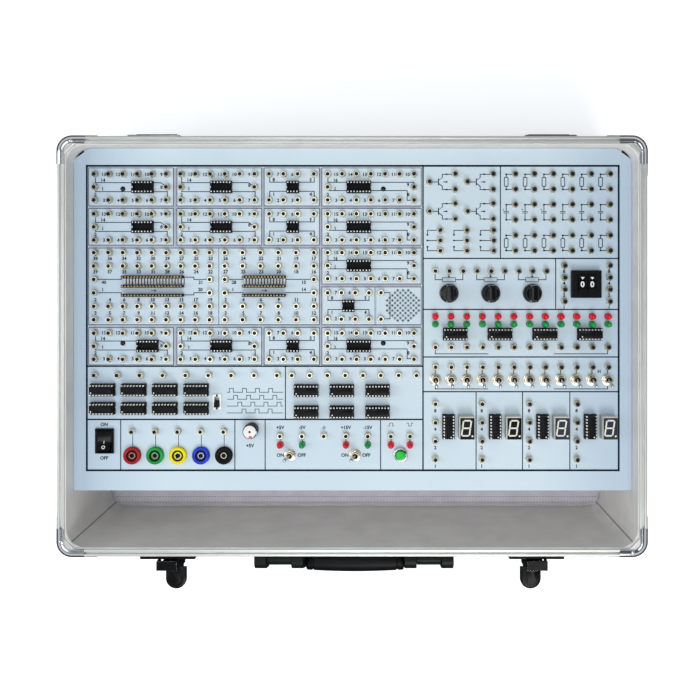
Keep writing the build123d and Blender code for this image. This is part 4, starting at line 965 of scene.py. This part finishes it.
def makeTerminals():
    terminal = {
        "flange": [(7.3, -0.1), (7.3, 2.2), (7.1, 2.7), (6.6, 3.0), (5.0, 3.0), (4.7, 2.8), (4.65, 0.8)],
        "collar": [(4.5, 0.4), (4.5, 2.3), (4.3, 2.5), (3.5, 2.5), (3.4, 2.2), (3.35, 0.9)],
        "ring": [(3.25, 0.5), (3.25, 2.35), (3.1, 2.5), (2.8, 2.5), (2.7, 2.3), (2.62, 0.7)],
        "sleeve": [(2.6, 0.4), (2.6, 1.9), (2.45, 2.05), (2.05, 2.05), (2.0, 1.8), (1.95, -9.0)],
        "stem": [(4.9, -0.05), (4.9, -14.0), (4.2, -15.0), (1.4, -15.0), (1.3, -18.0)]}
    boxes = sorted(solidsOf("terminals"), key=lambda box: box[0].x)
    pieces = []
    for box, colour in zip(boxes, ("red", "green", "yellow", "blue", "black")):
        nylon = colour + "Nylon"
        sleeve = turned("sleeve", terminal["sleeve"], 24, "nickel")
        # painted shade: the bore of the sleeve is near black
        paint(sleeve, "socketHole", lambda c, n: c.xy.length < 2.02 and c.z < 1.5)
        parts = [turned("flange", terminal["flange"], 40, nylon),
                 turned("collar", terminal["collar"], 32, "blackNylon"),
                 turned("ring", terminal["ring"], 28, nylon), sleeve,
                 turned("stem", terminal["stem"], 28, "blackNylon")]
        model = joined(parts, "terminalModel")
        pieces.append(copyAt(model, footOf(box)))
        discard(model)
    fit(pieces, "terminalRow", "terminal_plastic", "terminals")


def makeButton():
    button = {"ring": [(6.2, -0.1), (6.2, 0.8), (5.9, 1.9), (5.4, 2.2), (4.6, 2.2), (4.2, 1.9), (4.0, -4.0)],
              "cap": [(3.75, -4.0), (3.75, 4.2), (3.55, 4.6), (3.0, 4.8), (1.0, 4.7)]}
    ring = turned("buttonBezel", button["ring"], 40, "chrome")
    carry(ring, footOf(solidsOf("button_bezel")[0]))
    settle(ring, "root", "plated_metal", "button_bezel")
    cap = turned("buttonCap", button["cap"], 36, "greenAcetal")
    settle(carry(cap, footOf(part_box("button_cap"))), "button_cap", "button_green", "button_cap")


def makeSwitches():
    marks = (("I", 2.2, -61.0), ("O", 2.7, -64.8))                  # text, height, and place in mm
    head = {"rings": [(0.9, 0.6), (0.9, 0.95), (0.6, 1.15)], "apart": 10.8}
    rocker = softened("power_rocker", 0.3, "glossBlack", 3)
    parts = [rocker]
    for text, height, y in marks:
        above = Vector((jointPlace["power_rocker_tilt"].x, y / 1000, 0.2))
        _, spot, normal, _ = rocker.ray_cast(above, Vector((0, 0, -1)))
        mark = textMesh(text, height, "whitePrint", 0.08)
        mark.data.transform(Matrix.Translation(spot) @ aim(normal))
        parts.append(mark)
    settle(joined(parts, "powerRocker"), "power_rocker", "black_plastic", "power_rocker")
    soften("rocker_frame", 0.35, "glossBlack", "black_plastic", segments=3)
    soften("slide_switch_frame", 0.2, "aluminium", "plated_metal")
    soften("slide_switch_knob", 0.2, "mattBlack", "black_plastic", "slide_switch_knob")
    screw = turned("slideScrew", head["rings"], 12, "socketHole")
    middle = footOf(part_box("slide_switch_frame"))
    screws = [copyAt(screw, middle + Vector((0, y, 0))) for y in inRow(2, head["apart"])]
    fit(screws, "slideScrews", "black_screws")
    discard(screw)


def makeWheels():
    wheel = {"rim": [(8.9, -3.0), (9.4, -2.7), (9.4, 2.7), (8.9, 3.0)], "sides": 40, "figure": 4.5,
             "figureAt": 9.56, "hood": (6.7, 3.6, 0.7), "hoodAt": (5.3, 1.2), "foot": (6.7, 1.6, 1.2),
             "footAt": (6.3, 0.4), "arrow": 1.35, "arrowAt": (5.2, 1.5)}
    nodes = ("tens_wheel", "units_wheel")
    soften("wheel_frame", 0.3, "mattBlack", "black_plastic")
    for node in nodes:
        disc = turned("numberWheel", wheel["rim"], wheel["sides"], "mattBlack")
        pick(disc, lambda c, n: abs(n.z) < 0.2 and round(math.degrees(math.atan2(c.y, c.x)) / 9) % 2 == 0)
        bpy.ops.mesh.inset(thickness=0.00012, use_individual=True, depth=0.00018)
        stopEditing()
        figures = []
        for value in range(10):
            figure = textMesh(str(value), wheel["figure"], "whitePrint", 0.05)
            figures.append(spin(shift(figure, 0, 0, wheel["figureAt"]), math.radians(36 * value), "X"))
        piece = joined([spin(disc, quarter, "Y"), *figures], node.replace("_w", "W") + "Piece")
        settle(carry(piece, jointPlace[node + "_turn"]), node, "black_plastic", node)
    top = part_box("wheel_frame")[1].z * 1000
    hoods = []
    for node in nodes:
        place = jointPlace[node + "_turn"]
        x, y = place.x * 1000, place.y * 1000
        for side in (-1, 1):
            spot = (x, y + side * wheel["hoodAt"][0], top + wheel["hoodAt"][1])
            hoods.append(block("windowHood", wheel["hood"], spot, "mattBlack", bevel=0.2))
            spot = (x, y + side * wheel["footAt"][0], top + wheel["footAt"][1])
            hoods.append(block("hoodFoot", wheel["foot"], spot, "mattBlack"))
        arrow = turned("windowArrow", [(wheel["arrow"], 0), (wheel["arrow"], 0.1)], 3, "whitePrint")
        arrow.data.transform(Matrix.Diagonal((1.35, 1, 1, 1)) @ Matrix.Rotation(math.pi, 4, "Z"))
        hoods.append(shift(arrow, x, y + wheel["arrowAt"][0], top + wheel["arrowAt"][1]))
    fit(hoods, "windowHoods", "black_plastic")


# ---- handle and latches ----
def makeHandle():
    grip = {"steps": 9, "crown": 0.9, "shoulder": 9.0,
            "end": [(-2.2, 0), (-1.3, 1.2), (-1.2, 5.0), (-1.8, 5.6), (-1.8, 6.4), (-1.0, 7.0)]}
    soften("handle_brackets", 0.5, "handleSteel", "handle_metal")
    soften("handle_frame", 0.5, "handleSteel", "handle_metal", "handle")
    low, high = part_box("handle_grip")
    half, radius = (high.x - low.x) * 500, (high.z - low.z) * 500
    rings = [(radius + out, along - half) for out, along in grip["end"]]
    length = half - grip["shoulder"]
    middle = []
    for i in range(grip["steps"]):
        share = i / (grip["steps"] - 1)
        middle.append((radius - grip["crown"] * (1 - math.sin(math.pi * share)), length * (2 * share - 1)))
    piece = turned("handleGrip", rings + middle + [(r, -h) for r, h in rings[::-1]], 40, "gripPvc")
    carry(spin(piece, quarter, "Y"), (low + high) / 2)
    settle(piece, "handle", "black_rubber", "handle_grip")


def makeLatches():
    latch = {"tongue": 0.9, "dome": [(0.7, 0.5), (1.0, 0.45), (1.3, 0.3), (1.3, 0.12)], "plate": 30,
             "rivet": [(2.0, -0.3), (2.0, 0.4), (1.5, 0.9), (0.6, 1.1)], "rivetX": 34, "rivetZ": (6, -8),
             "rivetY": -2.8}
    soften("latch_plates", 0.4, "lacquer", "latch_black")
    for side in ("left", "right"):
        lever, claw = f"latch_lever_{side}", f"latch_claw_{side}"
        tongueTop = jointPlace[f"latch_{side}_lever"].z * 1000 + latch["tongue"]
        piece = softened(lever, 0.35, "lacquer", 3)
        pressed(piece, lambda c, n: n.z > 0.99 and abs(c.z - tongueTop) < 0.1, latch["dome"])
        settle(smooth(piece, 60), lever, "latch_black", lever)
        hook = soften(claw, 0.25, "lacquer", "latch_black", claw)
        paint(hook, "chrome", lambda c, n: max(abs(v) for v in n) < 0.97)      # its narrow bevel faces in chrome, so its edges show bright
    rivet = turned("latchRivet", latch["rivet"], 16, "chrome")
    facing = Matrix.Rotation(quarter, 4, "X")
    rivets = []
    for box in solidsOf("latch_plates"):
        low, high = box
        if sizeOf(box)[2] > latch["plate"]:                                     # not the cheeks
            middle, y = (low.x + high.x) / 2, high.y + latch["rivetY"] / 1000
            for z in (low.z + latch["rivetZ"][0] / 1000, high.z + latch["rivetZ"][1] / 1000):
                rivets += [copyAt(rivet, (middle + x, y, z), 0, facing) for x in inRow(2, latch["rivetX"])]
    fit(rivets, "latchRivets", "plated_metal")
    discard(rivet)


# ---- printing on the panel: millimetres from the middle of the case ----
strokes = {"ink": [], "thinInk": [], "band": [], "paleInk": []}
labels = []


def textMesh(text, height, finish, rise):
    # figures of the given height (mm), centred, as a mesh
    tall = 0.7                                      # the height of a figure in the font's own units
    deselect()
    bpy.ops.object.text_add(location=(0, 0, 0), rotation=(0, 0, 0))
    piece = bpy.context.object
    piece.data.body = text
    piece.data.resolution_u = 3
    piece.data.offset = 0.034
    piece.data.extrude = rise / height / 2 * tall
    bpy.ops.object.convert(target="MESH")
    xs = [v.co.x for v in piece.data.vertices]
    carry(piece, (-(min(xs) + max(xs)) / 2, -tall / 2, 0))
    piece.data.transform(Matrix.Scale(height / 1000 / tall, 4))
    return named(piece, "figure", finish)


def line(x0, y0, x1, y1, width=0.66, ink="thinInk"):
    strokes[ink].append((x0, y0, x1, y1, width))


def uprights(places, y0, y1, width, ink="ink"):
    for x in places:
        line(x, y0, x, y1, width, ink)


def levels(places, x0, x1, width=0.66, ink="ink"):
    for y in places:
        line(x0, y, x1, y, width, ink)


def trace(points, width=0.66, ink="thinInk"):
    for (x0, y0), (x1, y1) in zip(points, points[1:]):
        line(x0, y0, x1, y1, width, ink)


def cell(x0, y0, x1, y1, width=0.52, ink="thinInk"):
    trace([(x0, y0), (x1, y0), (x1, y1), (x0, y1), (x0, y0)], width, ink)


def dot(x, y):
    line(x - 0.25, y, x + 0.25, y, 1.2, "ink")


def label(text, x, y):
    labels.append((str(text), x, y))


def drawCells():
    edge, top, low, middle = 221.5, 148.7, -104.9, 58.5
    columns = [(-220.0, -149.4), (-146.5, -75.9), (-73.8, -27.8), (-25.7, 57.0)]
    rows = [(147.0, 115.3), (113.2, 82.7), (80.2, 16.4), (13.9, -17.1)]
    wide = rows[2]                                  # this row holds the two wide banks
    split = (50.3, 47.8)                            # and is split in the last column
    left, right = columns[0][0], columns[3][1]
    cell(-edge, top, edge, low, 1.6, "ink")
    uprights([middle], top, low, 1.2)
    levels((-18.2, -62.5), -edge, middle, 1.2)
    for row in rows:
        if row != wide:
            for x0, x1 in columns:
                cell(x0, row[0], x1, row[1])
            for x0, x1 in ((-149.4, -146.5), (-75.9, -73.8)):
                line((x0 + x1) / 2, row[0], (x0 + x1) / 2, row[1], x1 - x0, "band")
        line(-26.75, row[0], -26.75, row[1], 2.1, "band")
    cell(left, wide[0], columns[2][1], wide[1])
    uprights([-111.6], *wide, 0.42, "thinInk")
    cell(columns[3][0], wide[0], right, split[0])
    cell(columns[3][0], split[1], right, wide[1])
    uprights((18.3, 19.2), split[1], wide[1], 0.3, "thinInk")
    for (_, y0), (y1, _) in zip(rows, rows[1:]):
        line(left, (y0 + y1) / 2, right, (y0 + y1) / 2, y0 - y1, "band")
    levels([49.05], -25.6, right, 2.5, "band")
    uprights([-56.1], -18.2, -62.5, 0.8)
    uprights((-193.3, -98.2, -73.0, 23.2), -62.5, low, 0.8)
    uprights([123.0], 148.5, 71.6, 0.8)
    levels((71.6, 29.1, -10.5, -39.4), middle, edge, 1.0)
    uprights([169.0], 71.6, 29.1, 0.8)
    uprights((102.7, 141.4, 180.8), -39.4, low, 0.8)


def drawBank(columns, top, pins, rise, endNumber):
    # the trace and the numbers of one bank; rise is how far its traces lie from the middle row
    middle, low = top - 10.8, top - 21.6
    first, last = columns[0], columns[-1]
    upper, lower = middle + rise[0], middle - rise[1]
    if pins == 14:
        trace([(first, top), (first, upper), (last - 5.5, upper), (last, middle)])
        trace([(first, middle), (first, lower), (last, lower), (last, low)])
    else:
        trace([(first, top), (first, upper), (last, upper), (last, middle)])
        trace([(first, middle), (first, lower), (last - 5.5, lower), (last - 5.5, low), (last, low)])
        label(8, last - 4.5, middle - 6.0)
    label(pins, first + 6.5, top - 4.8)
    label(1, first + 6.0, middle - 1.2)
    label(2, first, middle - 6.0)
    label(pins // 2 + 1, last - 4.8, middle + endNumber)
    for i, x in enumerate(columns[1:]):
        label(pins - 1 - i, x - 4.9, top)
        if i < 5:
            label(3 + i, x - 4.9, low)


def drawSmallBank(columns, top):
    low = top - 21.6
    first, last = columns[0], columns[-1]
    trace([(first, top), (first, top - 6.5), (last, top - 6.5), (last, top)])
    trace([(first, low), (first, top - 14.1), (last, top - 14.1), (last, low)])
    for number, x, y in ((8, first + 3.4, top - 4.4), (5, last - 3.0, top - 4.4), (1, first + 3.4, low + 5.2),
                         (4, last - 3.0, low + 5.2), (7, columns[1] - 4.7, top), (2, columns[1] - 4.7, low),
                         (6, columns[2] - 4.7, top), (3, columns[2] - 4.7, low)):
        label(number, x, y)


def drawWideBanks():
    strips = sorted(solidsOf("contact_strips"), key=lambda box: (round(box[0].x, 2), -box[0].y))
    rows = [76.4 - 11.12 * k for k in range(6)]
    wide = {"columns": [-214.3 + 11.98 * i for i in range(9)], "strips": strips[:3], "pins": 40, "step": 1.8,
            "numbers": ((38, 36, 34, 32, 30, 29, 27, 25, 23), (39, 37, 35, 33, 31, 28, 26, 24, 22),
                        (2, 4, 6, 8, 10, 13, 15, 17, 19), (3, 5, 7, 9, 11, 12, 14, 16, 18))}
    medium = {"columns": [-105.9 + 14.76 * i for i in range(6)], "strips": strips[3:], "pins": 28, "step": 0,
              "numbers": ((26, 24, 22, 21, 19, 17), (27, 25, 23, 20, 18, 16), (2, 4, 6, 9, 11, 13),
                          (3, 5, 7, 8, 10, 12))}
    for bank in (wide, medium):
        low, high = bank["strips"][0]
        left, right = low.x * 1000, high.x * 1000
        first, last = bank["columns"][0], bank["columns"][-1]
        heights = (rows[0] - 4.75, rows[1] - 4.75, rows[4] + 5.4, rows[5] + 5.4)
        for y, numbers in zip(heights, bank["numbers"]):
            for x, number in zip(bank["columns"], numbers):
                label(number, x, y)
        for row, step in ((rows[2], bank["step"]), (rows[3], -bank["step"])):
            if step:
                trace([(first, row), (left - 1.5, row), (left - 1.5, row + step), (left, row + step)])
                trace([(right, row + step), (right + 8, row + step), (right + 8, row), (last, row)])
            else:
                line(first, row, left, row)
                line(right, row, last, row)
        half = bank["pins"] // 2
        label(bank["pins"], first + 7, rows[2] - 2.4)
        label(half + 1, last - 8.5, rows[2] - 2.4)
        label(1, first + 6, rows[3] + 2.7)
        label(half, last - 8.5, rows[3] + 2.7)
        ys = [((box[0].y + box[1].y) / 2 - caseY) * 1000 for box in bank["strips"]]
        centre = (left + right) / 2
        for offset in pinsAlong(right - left):                              # the comb between two strips
            x = centre + offset * 1000
            line(x, ys[0] - 1.6, x, ys[1] + 1.6, 1.5, "paleInk")
            line(x + 1.27, ys[0] - 1.6, x + 1.27, ys[1] + 1.6, 0.75, "ink")
        y = (ys[1] + ys[2]) / 2
        line(centre - 2.2, y, centre + 1.4, y, 0.5, "ink")                  # an arrow
        trace([(centre + 0.6, y + 0.9), (centre + 2.0, y), (centre + 0.6, y - 0.9)], 0.4, "ink")


def drawBanks():
    columns = {"left": [-214.3 + 11.96 * i for i in range(6)], "next": [-142.5 + 12.24 * i for i in range(6)],
               "small": [-69.2, -57.4, -45.6, -32.1], "right": [-20.7 + 11.92 * i for i in range(7)],
               "lone": [-20.7 + 11.4 * i for i in range(4)]}
    for top in (141.6, 108.5, 9.7):
        drawBank(columns["left"], top, 14, (3.9, 3.6), 0.2)
        drawBank(columns["next"], top, 14, (3.9, 3.6), 1.8)
        drawSmallBank(columns["small"], top)
    for top in (141.6, 108.5, 76.4, 9.7):
        drawBank(columns["right"], top, 16, (4.2, 2.7), 2.2)
    drawSmallBank(columns["lone"], 43.1)
    trace([(23.5, 43.1), (31.0, 43.1), (31.0, 21.3), (23.5, 21.3)])


def drawTransistors():
    symbol = {"bar": 7.6, "lead": 10.8, "up": 6.4, "end": 14.3, "socket": 21.25}
    for x in (63.8, 95.3):
        bar, lead, end = x + symbol["bar"], x + symbol["lead"], x + symbol["end"]
        for y in (135.3, 110.8):
            line(x, y, bar, y)
            line(bar, y - 2.6, bar, y + 2.6, 0.8, "ink")
            for side in (1, -1):
                out = y + side * symbol["up"]
                line(bar, y + side * 1.2, lead, y + side * 3.6, 0.38 if side > 0 else 0.7, "ink")
                trace([(lead, y + side * 3.6), (lead, out), (x + symbol["socket"], out)])
                dot(end, out)
            line(x + 11.8, y, end, y)
            dot(end, y)
    for x in (72.7, 94.8, 116.9):                       # the changeover contacts
        side = x - 10.5
        for y, end in ((95.0, 91.2), (86.5, 86.5), (78.0, 81.3)):
            line(x, y, side, y)
            if end != y:
                line(side, y, side, end)
            dot(side, end)


def drawElements():
    rows = [141.7, 129.0, 116.4, 103.7, 90.8, 78.1]
    half, long, cut = 1.55, 3.75, 0.6                   # half a resistor's width and length, and its corners
    right = [(half - cut, long), (half, long - cut), (half, cut - long), (half - cut, -long)]
    outline = right + [(-u, v) for u, v in right[::-1]] + right[:1]
    for n in range(6):
        x = 135.0 + 15.72 * n
        side = x - 7.2
        for upper, lower in zip(rows[::2], rows[1::2]):
            centre = (upper + lower) / 2
            capacitor = upper == rows[2]
            for y, reach in ((upper, 1), (lower, -1)):
                line(x, y, side, y)
                dot(side, y)
                line(side, y, side, centre + reach * (0.6 if capacitor else long))
            if not capacitor:
                trace([(side + u, centre + v) for u, v in outline], 0.65, "ink")
                continue
            levels((centre + 0.6, centre - 0.6), side - 2, side + 2, 0.55)
            if n < 3:                                   # the polar ones have a plus sign
                line(side - 3.0, centre + 2.2, side - 1.6, centre + 2.2, 0.3, "ink")
                line(side - 2.3, centre + 1.5, side - 2.3, centre + 2.9, 0.3, "ink")


def drawControls():
    box = {"wide": 5.4, "high": 1.65, "y": 53.9, "top": 61.1, "reach": 11.54}
    y = box["y"]
    for x in (80.1, 114.8, 149.4):
        for side in (-1, 1):
            end = x + side * box["reach"]
            trace([(end, box["top"]), (end, y), (x + side * box["wide"], y)])
        cell(x - box["wide"], y + box["high"], x + box["wide"], y - box["high"], 0.42, "ink")
        line(x, box["top"], x, y + box["high"] + 0.3)
        trace([(x - 0.8, y + 2.9), (x, y + 1.9), (x + 0.8, y + 2.9)], 0.45, "ink")
    for i, text in enumerate("8421"):
        for x in (176.0, 213.5):
            label(text, x, 61.0 - 9.93 * i)
        for end in (102.7, 141.4, 180.8, 220.4):
            label(text, end - 34.0, -55.2 - 15.4 * i)
    for x0, x1 in ((68.7, 112.6), (167.7, 212.2)):
        levels((-7.9, -37.1), x0, x1, ink="thinInk")
    for n in range(12):
        x = 68.7 + 13.046 * n
        line(x, -18.5, x, -24.0)
        if n in (0, 11):
            line(x, -2.0, x, -7.9)
            line(x, -29.2, x, -37.1)
    label("H", 205.2, -22.4)


def drawSupplies():
    wave = {"high": 3.2, "wide": 3.3, "period": 10.9, "shift": 3.5, "start": 1.6, "left": -104.4,
            "right": -58.3}
    for k, base in enumerate((-39.9, -45.7, -51.4, -57.1)):
        points = [(wave["left"], base)]
        x = wave["left"] + wave["start"] + wave["shift"] * k
        while x + wave["wide"] < wave["right"]:
            up, end = base + wave["high"], x + wave["wide"]
            points += [(x, base), (x, up), (end, up), (end, base)]
            x += wave["period"]
        trace(points + [(wave["right"], base)], 0.5, "ink")
    for text, places in (("ON", ((-207.1, -66.6), (-60.4, -92.2), (-6.6, -92.2))),
                         ("OFF", ((-207.1, -94.6), (-42.5, -92.2), (11.3, -92.2))),
                         ("+5V", ((-85.5, -84.3), (-60.3, -69.1))), ("-5V", ((-42.1, -69.1),)),
                         ("+15V", ((-5.7, -69.1),)), ("-15V", ((12.5, -69.1),))):
        for x, y in places:
            label(text, x, y)
    uprights([-183.3 + 19.05 * n for n in range(5)], -72.2, -86.0, 0.5, "thinInk")
    uprights((-60.3, -42.1, -5.7, 12.5, 31.9, 47.6), -75.8, -83.4, 0.66, "thinInk")
    earth = (-23.9, -69.0)
    for k, half in enumerate((1.6, 1.05, 0.5)):
        levels([earth[1] - k * 0.75], earth[0] - half, earth[0] + half, 0.35)
    uprights([earth[0]], earth[1], earth[1] + 1.4, 0.35)
    for x, y, side in ((31.9, -67.9, 1), (47.6, -65.6, -1)):                # one pulse up, one down
        end = y + side * 2.4
        trace([(x - 2.8, y), (x - 1.2, y), (x - 1.2, end), (x + 1.2, end), (x + 1.2, y), (x + 2.8, y)],
              0.4, "ink")


def makePrint():
    ink = {"sink": 0.02, "rise": 0.05, "bandRise": 0.03, "figure": 2.7, "figureRise": 0.1, "overlap": 0.9}
    names = {"ink": "printInk", "thinInk": "printTraces", "band": "printBands", "paleInk": "printCombs"}
    for draw in (drawCells, drawBanks, drawWideBanks, drawTransistors, drawElements, drawControls,
                 drawSupplies):
        draw()
    for finish, rows in strokes.items():
        rise = ink["bandRise" if finish == "band" else "rise"] + ink["sink"]
        overlap = 0 if finish in ("band", "paleInk") else ink["overlap"]    # so that corners close
        unit = block("inkStroke", (1000, 1000, rise), (0, 0, rise / 2), finish)
        pieces = []
        for x0, y0, x1, y1, width in rows:
            length = max(math.hypot(x1 - x0, y1 - y0) + width * overlap, width * ink["overlap"])
            stretch = Matrix.Diagonal((length / 1000, width / 1000, 1, 1))
            place = at((x0 + x1) / 2, (y0 + y1) / 2, -ink["sink"])
            pieces.append(copyAt(unit, place, math.atan2(y1 - y0, x1 - x0), stretch))
        discard(unit)
        fit(pieces, names[finish], "printed_panel")
    models, pieces = {}, []
    for text, x, y in labels:
        if text not in models:
            models[text] = textMesh(text, ink["figure"], "ink", ink["figureRise"])
        pieces.append(copyAt(models[text], at(x, y)))
    discard(*models.values())
    fit(pieces, "printFigures", "printed_panel")


for make in (makeStage, makePrint, makePatchSockets, makeChipSockets, makeChips, makeStrips, makeLights,
             makeDisplays, makeBuzzer, makeToggles, makeKnobs, makeTerminals, makeButton, makeSwitches,
             makeWheels, makePanel, makeHandle, makeLatches, makeCase, makeLining, makeFloorPad):
    make()
    print("done:", make.__name__)
